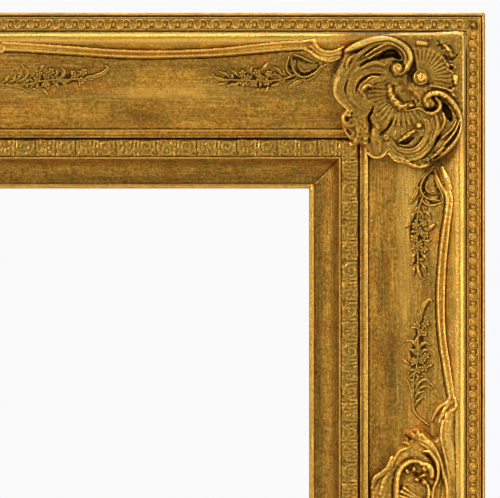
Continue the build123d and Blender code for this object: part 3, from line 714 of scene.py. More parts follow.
def carvePad(field, outline, edge):
    # the casting's ground: a flat pad inside an outline, with a rounded edge
    line = smoothLine(fromPhoto(list(outline) + [outline[0]]), 6)
    spots = np.stack([field["along"].ravel(), field["inward"].ravel()], -1)
    gap = np.full(len(spots), 1e9)
    inside = np.zeros(len(spots), bool)
    for start, end in zip(line[:-1], line[1:]):
        run = end - start
        away = spots - start
        share = np.clip(away @ run / max(run @ run, 1e-9), 0, 1)
        gap = np.minimum(gap, np.linalg.norm(away - share[:, None] * run, axis=1))
        crosses = (start[1] > spots[:, 1]) != (end[1] > spots[:, 1])
        if start[1] != end[1]:
            border = start[0] + (spots[:, 1] - start[1]) / (end[1] - start[1]) * run[0]
            inside ^= crosses & (spots[:, 0] < border)
    gap = gap.reshape(field["bed"].shape)
    inside = inside.reshape(gap.shape)
    slack = np.clip(gap / edge, 0, 1)
    drop = 1 - np.sqrt(np.clip(1 - (1 - slack) ** 2, 0, 1))
    pad = field["bed"] + (field["ground"] - field["bed"]) * (1 - drop)
    field["height"] = np.where(inside, np.maximum(field["height"], pad), field["height"])


def grainField(field, amount, size, seed, points=None, reach=0.0):
    # a rough cast surface, over the whole field or within a reach of a line
    rough = amount * smoothNoise(field["along"], field["inward"], size, seed)
    if points:
        line = smoothLine(fromPhoto(points))
        spots = np.stack([field["along"], field["inward"]], -1)
        gap = np.min(np.linalg.norm(spots[:, :, None, :] - line[None, None], axis=-1), axis=2)
        rough = rough * (gap < reach * photo["mmPerPixel"])
    field["height"] = field["height"] + rough


def blurred(values, reach):
    for axis in (0, 1):
        values = np.apply_along_axis(softened, axis, values, reach)
    return values


def fieldMesh(name, field, kind):
    # the carved top, with a skirt that runs into the bed and a floor under it
    hollowShare, proudShare, brighter, patina = castings[kind]["tone"]
    soften = castings[kind]["soften"]
    top = np.maximum(field["height"], field["bed"] - relief["skirt"])
    shown = top > field["bed"] - relief["shown"]
    if soften:
        around = blurred(shown.astype(float), soften)
        top = np.where(shown, blurred(np.where(shown, top, 0.0), soften) / np.maximum(around, 1e-3), top)
    plain = np.where(shown, top, field["bed"])
    fine, broad = [
        (plain - blurred(plain, round(reach / field["step"]))) / whole
        for reach, whole in (relief["fine"], relief["broad"])
    ]
    # painted shade, with toning, at the foot where the casting meets the bed
    foot = np.clip(1 - (top - field["bed"]) / relief["foot"], 0, 1)
    carve = fine + broad - relief["footShadeAndTone"][0] * foot
    carve = np.clip(np.where(carve < 0, carve * hollowShare, carve * proudShare), -1, 1)
    carve = carve + brighter * (1 - foot) - relief["footShadeAndTone"][1] * foot + field["rub"]
    carve = np.clip(carve, -1, 1)
    columns = top.shape[1]
    quads = shown[:-1, :-1] | shown[1:, :-1] | shown[:-1, 1:] | shown[1:, 1:]
    rowAt, columnAt = np.nonzero(quads)
    first = rowAt * columns + columnAt
    faces = np.stack([first, first + 1, first + columns + 1, first + columns], 1)
    used, faces = np.unique(faces, return_inverse=True)
    faces = faces.reshape(-1, 4)
    along = field["along"].ravel()[used]
    inward = field["inward"].ravel()[used]
    height = top.ravel()[used]
    corners = np.stack([halfWidth - along, -timberBack - height, halfHeight - inward], 1)
    place = np.stack([along, inward, height], 1)
    mesh = makeMesh(name, corners, faces.tolist(), place, carve.ravel()[used], np.full(len(used), patina))
    shell = bmesh.new()
    shell.from_mesh(mesh)
    rim = [edge for edge in shell.edges if edge.is_boundary]
    bmesh.ops.triangle_fill(shell, use_beauty=True, edges=rim, normal=(0, 1, 0))
    bmesh.ops.recalc_face_normals(shell, faces=shell.faces)
    shell.to_mesh(mesh)
    shell.free()
    mesh.shade_smooth()
    return mesh


quarters = {"upper_right": (1, 1), "upper_left": (-1, 1), "lower_right": (1, -1), "lower_left": (-1, -1)}


def mirrored(mesh, name, acrossSign, uprightSign):
    copy = mesh.copy()
    copy.name = name
    copy.transform(Matrix.Diagonal((acrossSign, 1, uprightSign, 1)))
    if acrossSign * uprightSign < 0:
        copy.flip_normals()
    return copy


def addCasting(name, mesh, signs):
    addPiece(name + "_carved", mirrored(mesh, name, *signs), castGilding, [name])


# The corner casting: a C scroll over a rolled shell, a rosette with flutes, and a second C scroll
cornerCasting = {
    "low": (328, 30),
    "high": (468, 172),
    "edge": 1.1,
    "groundAt": [12.4, 13.2, 16, 26, 40, 55, 70, 85, 100],
    "groundHeight": [46.8, 48.2, 49.2, 48.8, 45.6, 41.8, 38.8, 36.6, 35.6],
    "outline": [
        (343.4, 56.6), (336, 67), (331, 78), (334.4, 94), (343, 104), (352, 112), (343, 120), (342, 127),
        (347, 137), (355, 143), (366, 147), (370, 156), (380, 159), (390, 155), (397, 161), (406, 163),
        (415, 167), (426, 168), (438, 160), (450, 151), (458, 138), (463, 122), (465.4, 100), (465.4, 60),
        (465.4, 33), (430, 33), (395, 33.5), (372, 37), (356, 43), (346, 51),
    ],
}
field = makeField(cornerCasting["low"], cornerCasting["high"], castings["corner"]["step"],
                  lambda inward: np.interp(inward, cornerCasting["groundAt"], cornerCasting["groundHeight"]))
carvePad(field, cornerCasting["outline"], cornerCasting["edge"])
grainField(field, *castings["corner"]["grain"])

# Each stroke: kind, rise in millimetres, width and points in photograph pixels
cornerStrokes = [
    # the rolled shell on the left, three folds lapping outward
    ("trough", (0.8, 1.9, 2, 1), (8, 12, 12, 7),
     [(384, 64), (366, 64), (349, 71), (340, 82), (339, 93), (346, 103), (356, 110), (365, 114)]),
    ("trough", (1.3, 2.5, 2.5, 1.3), (6, 10, 11, 6),
     [(386, 72), (374, 69.5), (361, 73), (353, 82), (351, 92), (355, 101), (362, 108), (368, 110)]),
    ("trough", (1.8, 3, 2.8, 1.5), (6, 9, 9, 6),
     [(382, 79), (373, 80), (365, 85), (361, 92), (363, 100), (369, 105), (375, 106)]),
    ("ridge cut", 1, 2.4,
     [(383, 68), (372, 67), (359, 71.5), (348, 80), (345.5, 92), (350, 102), (359, 109.5)]),
    ("ridge cut", 1, 2.4,
     [(380, 74.5), (372, 75), (363, 79), (357, 86.5), (356, 95), (360, 102), (367, 107)]),
    ("ridge", (1.5, 4.2, 4.2, 3), (2.4, 4.2, 4.6, 2.5), [(360.5, 87), (365, 81.5), (372, 77), (379, 77.8)]),
    ("round", (2.2, 4.4, 3.5), (3.5, 5.4, 4), [(360.3, 97), (361.5, 91), (366, 86), (372.5, 86.5)]),
    ("ridge cut", 1.8, 2, [(364, 93), (368, 89.5), (375, 89), (385, 90)]),
    ("ridge cut", 0.8, 1.6,
     [(378, 66), (366, 66.5), (353, 73), (343.5, 83), (342.5, 93), (348.5, 102.5), (357, 109)]),
    ("ridge cut", 0.8, 1.6,
     [(382, 71.4), (372, 71.2), (361, 75), (353.5, 84), (352, 93), (356, 102), (363, 108)]),
    ("ridge cut", 0.8, 1.6, [(380, 77.8), (371, 78), (362.5, 83), (358, 90), (359.4, 98), (364.6, 104)]),
    ("soft cut", (0.4, 1.1, 1.1, 0.4), (4, 6.4, 6.4, 4),
     [(343.6, 58.2), (339.2, 64.6), (335.4, 71), (332.4, 78)]),
    # the upper scroll
    ("leaf", (2, 2.8, 2.4), (3, 5, 4),
     [(345, 76), (350, 69), (354.5, 60), (361, 53), (370, 47), (380, 44)]),
    ("round", (3, 3.8, 2.6), (4, 5.5, 4), [(346.6, 68.5), (347, 63.5), (350.5, 58), (355, 55)]),
    ("leaf", (1.8, 2.6, 2.4), (3.5, 5, 4), [(352, 76), (358, 70), (367, 65), (376, 63), (384, 65)]),
    ("round", (2.4, 4.6, 5, 5, 4.9, 4.6, 4.2), (4, 7.5, 8.5, 8.5, 8.5, 8, 7),
     [(346, 51.5), (353, 48.5), (362, 45), (374, 42), (386, 41), (396, 43.2), (404, 48.5), (408.3, 55.5),
      (408.3, 62.5), (405.5, 68.5), (400.5, 72.5), (396, 73.5)]),
    ("round", (3, 4.9, 5.2, 4.9, 4), (3, 4.6, 4.2, 3.8, 3),
     [(345.5, 51), (350, 47.6), (358, 43.4), (366, 40.6), (378, 38.6), (388, 38.8), (399, 42), (408, 48.6),
      (411.3, 56), (411.2, 63), (408, 70.5)]),
    ("ridge cut", (0.8, 1.9, 1.9, 1.2), 2,
     [(360, 49.5), (370, 44.5), (380, 42), (390, 41.5), (399, 46), (405, 52), (407.6, 60), (405.4, 66.5)]),
    ("ridge", (3, 4.8, 5, 4.2), (2.5, 3.8, 3.8, 3),
     [(365.5, 56), (372, 51.5), (380, 46.8), (388, 44.2), (396, 46.5), (402, 51), (404.8, 57), (404, 63),
      (401.5, 66)]),
    ("soft cut", (4, 8.5, 8.5, 5), (5, 10, 11, 6), [(378.5, 58), (386, 54.5), (393, 53.5), (399, 58)]),
    ("soft cut", (1.5, 3, 2.5), (4, 5, 4), [(361, 66), (368, 61), (377, 58)]),
    ("ridge", (2, 2.4, 1.6), 2.6, [(369, 59), (375, 54.5), (381, 51.6)]),
    ("round", 5.9, 12.6, [(397, 68.6), (397.2, 68.6)]),
    ("ridge cut", (1.2, 2.6, 2.6, 1.6), 2.4,
     [(392.8, 62.4), (398, 61.6), (402.8, 64.6), (403.6, 69.4), (400.6, 73.4)]),
    ("ridge cut", 2.2, 2.2, [(399.4, 67), (396.6, 66.4), (395, 69), (397, 71.2)]),
    # the rosette and its shell
    ("soft cut", (1.6, 2.6, 1.6), (8, 12, 9), [(413, 64), (411, 76), (409, 86)]),
    ("round", 5.6, 16.6, [(420.7, 77.8), (420.9, 77.8)]),
    ("ridge cut", 2.2, 2.4, [(424.5, 73), (420, 71.6), (416, 75), (416.5, 80), (420.5, 82.8), (424.6, 81)]),
    ("ridge cut", 1.8, 2.2, [(422, 75), (421, 79.5)]),
    ("round", (3.2, 3.6), (5.6, 4.6), [(417.6, 43), (426, 44.2)]),
    ("ridge cut", 0.9, 1.4, [(417.4, 43.6), (425, 44.6)]),
    ("round", (2.6, 3.4, 2.6), (4, 5.4, 4), [(443.8, 45.6), (448, 49), (451.4, 55)]),
    ("soft cut", 1.6, 3, [(444, 55), (447.5, 59), (453, 59), (457, 55)]),
    ("round", (3.2, 3), (6.6, 5.4), [(455.2, 77.5), (455.8, 82.5)]),
    ("round", (1.6, 2.2, 1.6), 3, [(430, 86), (440, 87.5), (450, 91), (455, 97)]),
    # the crescent in the middle
    ("soft cut", (1.5, 2.6, 1.5), (10, 14, 10), [(400, 84), (407, 94), (416, 101)]),
    ("round", (3.4, 4.8, 4.8, 3.6), (6, 9, 9, 6),
     [(389.6, 86.5), (390.5, 94), (394, 101), (401, 106), (411.5, 104.8)]),
    ("ridge", (2.6, 2.8, 2.6), (2.6, 3.2, 3),
     [(388, 98), (393, 106), (401, 110.6), (411, 110), (419, 108.6), (426, 112.5), (432, 115),
      (437.6, 111.5), (439.6, 105), (437, 99)]),
    # the lower scroll
    ("soft cut", (3, 8, 8, 4), (6, 10, 10, 5), [(441.5, 103.5), (445, 108), (448, 114), (450.5, 120)]),
    ("round", (4.2, 4.8, 4.8, 4.4, 3), (6, 7, 6.5, 6, 4),
     [(427.5, 106), (425.3, 100.5), (428.5, 95.6), (435, 93.4), (442, 94.4), (449, 99), (455.2, 106.5),
      (459, 114), (460.8, 121)]),
    ("ridge add", 0.9, 2.2,
     [(424, 100), (427, 94.5), (433.5, 92), (441, 92.6), (448, 96.8), (455, 104), (459.6, 112.5),
      (461.6, 120)]),
    ("round", (3.8, 3.2), 7.5, [(430, 101.5), (431.5, 104)]),
    ("round", (2.8, 3, 2.6, 2), (4, 5, 4.5, 3),
     [(435.6, 98), (439.6, 103), (438.8, 109.6), (433, 113), (427.5, 112)]),
    ("soft cut", 3, 4, [(426.5, 109), (431, 110.6), (435, 108)]),
    # the leaves on the right, below the lower scroll
    ("ridge", (3.4, 3.4, 2.8, 1.8), (3.4, 5, 5, 4),
     [(461.6, 119), (460, 131), (454, 142.5), (446, 151), (437, 158)]),
    ("ridge", (3.4, 3.2, 2.4), (3, 4.4, 3.6), [(459.4, 120), (455.6, 130), (450, 138), (443.5, 145)]),
    ("ridge", (3, 3.2, 2.6), (3, 4.4, 4), [(456.4, 120), (452.4, 128), (446.5, 134), (442, 138)]),
    ("ridge", (2, 3, 2.6), (3, 5, 4), [(443, 113), (444.5, 121), (441.5, 129), (438, 135)]),
    ("ridge cut", (1.2, 3.4, 3.4, 1.4), (1.8, 3.2, 3.2, 2),
     [(441, 131), (438.5, 138), (434, 144.5), (428, 152)]),
    ("ridge cut", 2, 2, [(456, 134), (451, 141), (446, 146)]),
    ("leaf", (1.6, 3, 1.6), (3, 5.4, 3), [(443, 146), (438, 153), (431.4, 158)]),
    ("ridge cut", (1, 2.8, 1.6), (2, 3.2, 2), [(441.4, 151.6), (436, 157.4), (429.4, 160.4)]),
    ("ridge cut", (1, 2.4, 1.4), (2, 3, 2), [(429, 153), (424, 157.6), (416.6, 159.4)]),
    # the lower shell, folds one inside the other
    ("trough", (1.4, 2, 2.2, 1.9, 1.3), (5, 7.6, 7.6, 7.6, 5),
     [(389, 145), (394, 153), (404, 158), (416, 157), (427, 149), (433, 137), (432, 124)]),
    ("trough", (1.6, 2.6, 2.8, 2.4), (4, 6.6, 6.6, 5.4),
     [(391, 140), (396, 147.5), (406, 151.5), (416, 150), (424, 142), (428, 132), (426.5, 121)]),
    ("round", (2, 3, 2.4), (4, 6, 5), [(436, 116.5), (437.6, 126), (434.5, 136), (430, 144)]),
    ("ridge cut", 1.6, 2.2,
     [(391, 144), (398, 151.5), (408, 154.6), (419, 151.6), (427, 143), (430.6, 132)]),
    ("ridge cut", 1.3, 2, [(393, 139), (399, 145.6), (408, 147.6), (416, 144.6), (422, 137)]),
    ("ridge cut", 0.8, 1.6,
     [(391, 148.6), (398, 155.6), (409, 158.4), (420, 155), (429, 146), (432.6, 134)]),
    ("ridge cut", 0.8, 1.6,
     [(393.6, 142.6), (401, 149.4), (410, 151), (418, 147.4), (424.6, 138), (426.6, 129)]),
    ("round", (2.4, 3.8, 3.8, 2.6), (3, 5, 5, 3.6), [(398, 141.5), (404, 138), (410, 133.6), (415, 130.6)]),
    ("soft cut", (2, 3.6, 2), (2.4, 3.6, 2.4), [(400, 143.5), (407, 142.8), (413.5, 137.5)]),
    ("round", 3.2, 6.4, [(418.6, 125.4), (418.8, 125.4)]),
    ("ridge", (1.4, 1.8, 1.4), 2, [(462.8, 34.5), (463, 80), (463, 118)]),
    ("ridge cut", 1.6, 2.4, [(418.2, 125.8), (419.2, 125)]),
    ("ridge", (1.2, 1.8, 1.6, 1.2), (3, 4, 4, 3),
     [(389, 154), (396, 160.4), (405, 162), (414, 166), (424, 166.5), (432, 161)]),
    # the tail over the fillet and the leaf strip
    ("round", (1.6, 2.2, 1.6), (4, 5.4, 4),
     [(353, 110.5), (346.4, 113), (343.4, 118.6), (346, 124.5), (352, 126)]),
    ("round", 2.6, 5.4, [(348.6, 115.4), (348.8, 115.4)]),
    ("round", (1.6, 2, 1.4), (5, 7, 5), [(354, 120), (358.5, 130), (357.6, 140), (351, 144)]),
    ("round", (1.4, 2, 1.4), (7, 9, 7), [(361, 117), (364.5, 128), (365.6, 141)]),
    ("round", (1.6, 2.4, 1.8), (8, 12.5, 9), [(375, 131), (376, 141), (377, 151)]),
    ("round", 2.6, 7.4, [(386, 137.2), (386.2, 137.2)]),
    ("ridge cut", 1.5, 3, [(385.8, 137.4), (386.4, 137)]),
    ("round", 2.8, 6.4, [(376.4, 125.4), (378, 127.4)]),
    ("ridge cut", 1.2, 1.8, [(374, 127), (377, 125.4), (380, 126.4)]),
    ("ridge", (1.4, 2.2, 1.8), 3.4, [(368.4, 153.6), (375, 157.6), (383, 155.8), (387, 150.6)]),
    ("soft cut", (1.6, 4, 3, 1.6), (2.4, 4, 4, 2.4),
     [(373.6, 106.5), (371, 113), (368.6, 118), (371, 125), (370, 131)]),
    ("ridge cut", (1.2, 2.6, 2.6), (1.8, 3, 3), [(396.4, 112), (390.6, 124), (384.6, 131), (380.6, 134)]),
    ("soft cut", 2.4, 4, [(347.6, 130.4), (350.6, 134)]),
    ("soft cut", 2, 3, [(351.6, 141), (354, 146)]),
]
# fans of flutes: kind, rise, centre, radii, angles, count and width
cornerFans = [
    ("round", 1.0, (401, 93), (13, 32), (190, 50), 14, 4.8),
    ("round cut", 0.7, (401, 93), (13, 30), (185, 45), 14, 1.6),
    ("round cut", 0.7, (401, 93), (30, 41), (115, 65), 5, 1.6),
    ("round", 1.3, (420.7, 77.8), (9, 29), (-108, 12), 12, 4.8),
    ("round cut", 0.8, (420.7, 77.8), (9, 27), (-103, 17), 12, 1.6),
]
# crests that the rag reached, brightened further with painted highlights, and hollows and gaps that it
# didn't, darkened with painted shade: how much brighter, width and points
cornerWearAndPaintedLight = [
    ((1.2, 2, 2, 1.4), (6, 8, 8, 6), [(342, 51), (350, 47), (359, 43.6), (370, 40.8)]),
    ((1, 1.1, 0.9, 0.8), (6, 5, 5, 5),
     [(370, 40.8), (381, 39.4), (392, 40), (402, 43.5), (408.4, 50.5), (410.5, 59), (406.3, 67.3)]),
    ((0.6, 1, 0.8), (3, 4, 4), [(369.8, 54.7), (376, 50), (384, 46), (392, 45)]),
    ((-0.4, -1.1, -1.1, -0.6), 1.9,
     [(362, 48.4), (370, 44.5), (380, 42), (390, 41.5), (399, 46), (405, 52), (407.6, 60)]),
    (0.7, 10, [(396, 69), (397.5, 68.6)]),
    (0.8, 13, [(419, 78), (421, 77.8)]),
    ((0.3, 0.7, 0.6), 5, [(362.8, 90), (367, 84.2), (376.8, 77)]),
    ((0.3, 0.6, 0.6, 0.4), 7, [(390.5, 88), (393, 96), (398, 103.8), (406.3, 108.4)]),
    ((0.6, 0.7, 0.9, 1.2, 1.4), (5, 5, 5, 6, 6),
     [(424.5, 102), (427, 95.4), (437.2, 92.6), (447, 97.4), (455.4, 108), (460, 119)]),
    (0.6, 8, [(417, 43), (425, 44)]),
    (0.5, 6, [(444, 46), (449, 51)]),
    (0.7, 8, [(455.4, 77), (455.6, 83)]),
    (0.6, 6, [(449.5, 90), (452, 94)]),
    ((0.3, 0.6), 5, [(404, 137), (414, 131)]),
    (0.6, 7, [(418.6, 125), (419, 125.6)]),
    ((0.3, 0.5, 0.2), 4, [(334.5, 87), (336, 82), (340, 76)]),
    ((-0.8, -1.8, -1.8, -1), (7, 13, 13, 8), [(379, 57.6), (386, 54.6), (393, 53.8), (398.5, 58)]),
    ((-0.6, -1.8, -1.8, -0.6), (6, 10, 10, 5), [(442.5, 104), (445.5, 109), (448, 114), (450.5, 119)]),
    (-0.7, 5, [(361, 66), (368, 61), (377, 58)]),
    ((-0.8, -1.7, -1.7, -1), 5.4, [(343.6, 58.2), (339.2, 64.6), (335.4, 71), (332.4, 78)]),
    ((-0.6, -1.5, -1.5, -0.5), (5, 8, 8, 5), [(424.6, 162), (430, 163), (436.6, 160.4), (443, 155)]),
    ((0.4, 0.9, 0.9, 0.5), 5, [(334.6, 90), (335.4, 84), (339.6, 77.6)]),
    ((-0.5, -0.9, -0.5), 4, [(396, 141.5), (403, 142), (411, 138)]),
    ((-0.4, -0.7, -0.6), (4, 6, 6), [(438, 138), (432, 148), (426, 156)]),
]
for fan in cornerFans:
    carveFan(field, *fan)
for stroke in cornerStrokes:
    carveLine(field, *stroke)
for amount, width, points in cornerWearAndPaintedLight:
    carveLine(field, "soft rub", amount, width, points)
smallBeads = [
    (437, 43.6), (441, 43), (430, 38.6), (444.6, 61), (447, 64.4), (451.4, 65), (447.6, 69.6),
    (454.6, 67.6), (452, 73),
]
largeBeads = [(450.4, 71.4), (450.2, 91), (453.4, 95.6), (453, 88.6)]
for rise, radius, spots in ((2.6, 1.7, smallBeads), (2.4, 2.0, largeBeads)):
    carveBalls(field, rise, radius, spots)
# rough cast places: how deep, how wide, seed, line and its reach
cornerGrain = [
    (1.7, 1.3, 5, [(389.6, 86.5), (390.5, 94), (394, 101), (401, 106), (411.5, 104.8)], 4.5),
    (0.45, 1.6, 6, [(399, 88), (406, 96), (414, 100)], 6),
    (1.5, 1.3, 7, [(398, 141.5), (404, 138), (410, 133.6), (415, 130.6)], 3),
    (1.2, 1.3, 8, [(427, 104), (429, 97), (437, 94.5), (446, 99), (453, 108), (457, 117)], 3.4),
    (1.2, 1.3, 9, [(360.3, 97), (361.5, 91), (366, 86), (372.5, 86.5)], 3),
    (1.2, 1.4, 10, [(440, 43), (449, 52), (450, 66), (454, 80), (452, 92)], 4),
    (1.1, 1.5, 12, [(350, 116), (358, 128), (362, 141)], 8),
    (1.3, 1.4, 11, [(398, 160), (405, 161), (414, 164.6), (424, 163), (433, 157), (441, 150)], 4),
]
for grain in cornerGrain:
    grainField(field, *grain)
cornerMesh = fieldMesh("cornerCasting", field, "corner")
for quarter, signs in quarters.items():
    addCasting("corner_ornament_" + quarter, cornerMesh, signs)
print("stage: corner castings made", len(cornerMesh.polygons), "faces each")


# Ribs that bow along the slope, from each corner casting to each centre casting. Each is a band with
# two raised edges, and its knees turn into leaves.
ribFlange = 2.5  # how far the flange's middle is from the inner edge, in photograph pixels
# kind, rise, width and the line that the stroke follows
ribStrokes = [
    ("soft", 0.3, 2.2, "flange"),
    ("trough", (0.9, 1.9, 2.0, 2.0, 2.0, 1.9, 0.9), 7.8, "middle"),
    ("round", (1.2, 2.6, 3.0, 3.0, 3.0, 2.6, 1.2), 3.8, "inner"),
    ("round", (1.0, 2.2, 2.6, 2.6, 2.6, 2.2, 1.0), 3.6, "outer"),
    # these brighten the rib's edges and middle, rubbing with a painted highlight
    ("soft rub", 0.6, 4.0, "inner"),
    ("soft rub", 0.5, 3.6, "outer"),
    ("soft rub", 0.4, 4.4, "middle"),
]


def ribMesh(name, low, high, innerEdge, outerEdge, extras):
    field = makeField(low, high, castings["rib"]["step"])
    inner, outer = np.array(innerEdge), np.array(outerEdge)
    aside = (inner - outer) / np.linalg.norm(inner - outer, axis=1)[:, None]
    lines = {
        "inner": inner, "outer": outer, "middle": (inner + outer) / 2, "flange": inner + ribFlange * aside,
    }
    for kind, rise, width, line in ribStrokes:
        carveLine(field, kind, rise, width, lines[line])
    for stroke in extras:
        carveLine(field, *stroke)
    grainField(field, *castings["rib"]["grain"])
    return fieldMesh(name, field, "rib")


uprightRib = ribMesh(
    "uprightRib", (426, 162), (459, 428),
    [(440.5, 186), (445.6, 194), (446.9, 201), (446.2, 210), (444.6, 222), (442.4, 236), (440.4, 254),
     (438.9, 272), (438, 290), (438, 308), (438.9, 326), (440.6, 344), (443.2, 361), (446, 379),
     (448.4, 392), (449.2, 400)],
    [(447, 186), (450.6, 194), (451.4, 201), (450.6, 210), (449, 222), (447.4, 236), (445.6, 254),
     (444.2, 272), (443.6, 290), (443.3, 308), (443.8, 326), (445.4, 344), (448, 361), (450.6, 379),
     (452.5, 392), (454.2, 402)],
    [
        ("round", (1, 2.8, 2.6, 1.4), (2.6, 4.6, 4, 3),
         [(434.6, 169), (436.4, 176), (440.4, 185), (446, 193.6)]),
        ("round", (1.2, 2.6, 1.6), (5, 8, 6), [(441.6, 167), (445.6, 177), (449.6, 188)]),
        ("round", (1.4, 3.2, 3.4, 1.8), (3, 4.6, 4.8, 3),
         [(454.8, 398), (455.4, 406), (450.6, 411), (443.6, 415.4)]),
        ("round", (2.2, 2.8, 2.6, 1.6), (4, 5, 5, 3.4),
         [(449.2, 398), (445.6, 403), (439.4, 406.4), (435, 413), (431.6, 421)]),
        ("round", (1.2, 1.8, 1.2), (5, 7, 5), [(449, 402), (443, 411), (438.6, 422)]),
        ("ridge cut", (0.6, 1.2, 0.6), 1.8, [(447.4, 401), (442, 408), (438.4, 417)]),
    ],
)
acrossRib = ribMesh(
    "acrossRib", (-2, 34), (346, 68),
    [(4, 49.7), (20, 50.2), (44, 51.6), (72, 53.3), (100, 55.2), (126, 56.5), (150, 56.9), (176, 56.3),
     (202, 55.6), (228, 54.2), (252, 52.1), (277, 49.9), (292, 48.8), (305, 48.4)],
    [(4, 43.2), (20, 44.3), (44, 45.9), (72, 47.9), (100, 50.1), (126, 51.4), (150, 51.9), (176, 51.7),
     (202, 50.7), (228, 48.9), (252, 46.1), (277, 43.7), (292, 42.6), (309, 41.8)],
    [
        ("round", (1.2, 3, 3, 2.4, 1.4), (3, 4.4, 4.6, 5, 3.6),
         [(302, 42.2), (312, 41), (315.4, 45.4), (321, 50.6), (330, 52.4), (338, 50.6), (343.6, 47.4)]),
        ("round", (1.8, 3, 2.8, 2.4), (3.2, 4.6, 4.6, 5),
         [(302, 48.4), (309, 51.4), (317, 57.6), (326, 60.6), (334, 60.8), (340, 58)]),
        ("round", (1.4, 2.4, 2.4), (6, 9, 7), [(312, 47), (321, 54.6), (331, 56.6), (340, 53.6)]),
        ("ridge cut", (0.8, 1.4, 1.2), 1.8, [(311, 48.4), (318, 54.4), (328, 57), (338, 55.4)]),
        ("round", (1.6, 2.4, 1.4), (2.6, 3.4, 2.6), [(313.6, 39.6), (316.4, 41.6), (316.8, 45)]),
    ],
)
for quarter, signs in quarters.items():
    for way, mesh in (("across", acrossRib), ("upright", uprightRib)):
        addCasting("swept_rib_" + quarter + "_" + way, mesh, signs)
print("stage: swept ribs made")


# Flower sprigs, carved on the upper half of the right stile and turned over the mitre for the top rail
cornerSprig = [
    ("round", (1.2, 2, 1.4), (2, 3.4, 2.6), [(433.6, 166), (425.4, 173), (419.4, 180.4), (416.2, 188)]),
    ("leaf", (1.2, 2.2, 1.8, 1), (2.6, 4.8, 4.8, 2.6),
     [(418.4, 187), (416, 193), (412.6, 199), (409.6, 203.4)]),
    ("soft", 1.2, (10, 18, 20, 14), [(431.4, 176), (430.4, 184), (431.4, 192), (434.4, 199)]),
    ("round", (1.4, 2.2, 2.2, 2, 1.2), (2, 3, 3, 3, 2.2),
     [(432.6, 169), (425.2, 176.4), (421.4, 184), (421, 191), (425.4, 197), (432.2, 199.6),
      (439.6, 200.8)]),
    ("round", (1.2, 2, 2, 1.2), (2, 2.8, 2.8, 2.2),
     [(421.6, 199), (426.2, 204.4), (433, 205.4), (440.6, 203)]),
    ("round", (1.2, 1.9, 1.2), 2.6, [(435, 178), (438, 185.6), (441, 191.6), (443, 198)]),
    ("round", (1.2, 1.9, 1.4), 2.4, [(427.4, 182), (426, 188), (429.4, 192.4), (434.4, 191.6)]),
    ("round", (1.2, 1.9, 1.4), 2.2, [(431.4, 181.4), (429.8, 184.6), (431.4, 187.6)]),
    ("ridge cut", 0.9, 2.2, [(427, 193.4), (431.6, 195.6), (437.2, 195.2)]),
    ("round", 1.6, 2.2,
     [(423.4, 196), (419.6, 206), (417.4, 218), (416.8, 232), (417.4, 246), (418, 260), (418.4, 268)]),
    ("leaf", (0.8, 1.8, 0.9), (2, 4, 2), [(418.4, 207.6), (421.2, 213), (425.2, 217.6)]),
    ("leaf", (0.8, 1.8, 0.9), (2, 3.8, 2), [(416.8, 211), (413.2, 215), (411.6, 220.4)]),
    ("leaf", (0.8, 1.8, 0.9), (2, 3.8, 2), [(424, 209.6), (428, 213.6), (431, 219)]),
    ("round", (1.6, 2.4, 1.6), (2.6, 4, 3), [(410.4, 224), (407, 225.8), (405.2, 227)]),
    ("leaf", (1.2, 2.6, 1.4), (2.2, 4, 2.2), [(427.4, 231.4), (430.4, 227.4), (434.8, 224)]),
    ("leaf", (0.9, 1.8, 0.9), (2, 3.6, 2), [(422.6, 240.4), (427.6, 241), (431.4, 239.4)]),
    ("leaf", (0.9, 1.8, 0.9), (2, 3.6, 2), [(417, 250.4), (413.2, 256.4), (411.6, 262)]),
    ("leaf", (0.9, 1.8, 0.9), (2, 3.8, 2), [(421, 252.6), (425.4, 257.4), (428.4, 261.4)]),
    ("leaf", (1.2, 2.2, 1), (2.4, 4.4, 2.2), [(417.6, 263), (418.4, 271), (421, 277.4), (424.4, 279.6)]),
    ("leaf", (0.9, 1.8, 0.9), (2, 3.4, 2), [(415.4, 264.6), (413.8, 270), (413.6, 275)]),
    ("leaf", (0.9, 1.8, 0.9), (2, 3.2, 2), [(420.6, 262.6), (424.4, 267.4), (426, 272.6)]),
]
cornerFlowers = [
    (415.6, 225.6), (423.8, 223.2), (419.6, 232), (414.4, 238.4), (425, 235.2), (419.6, 245), (424.2, 249.4),
    (414.8, 248.6),
]
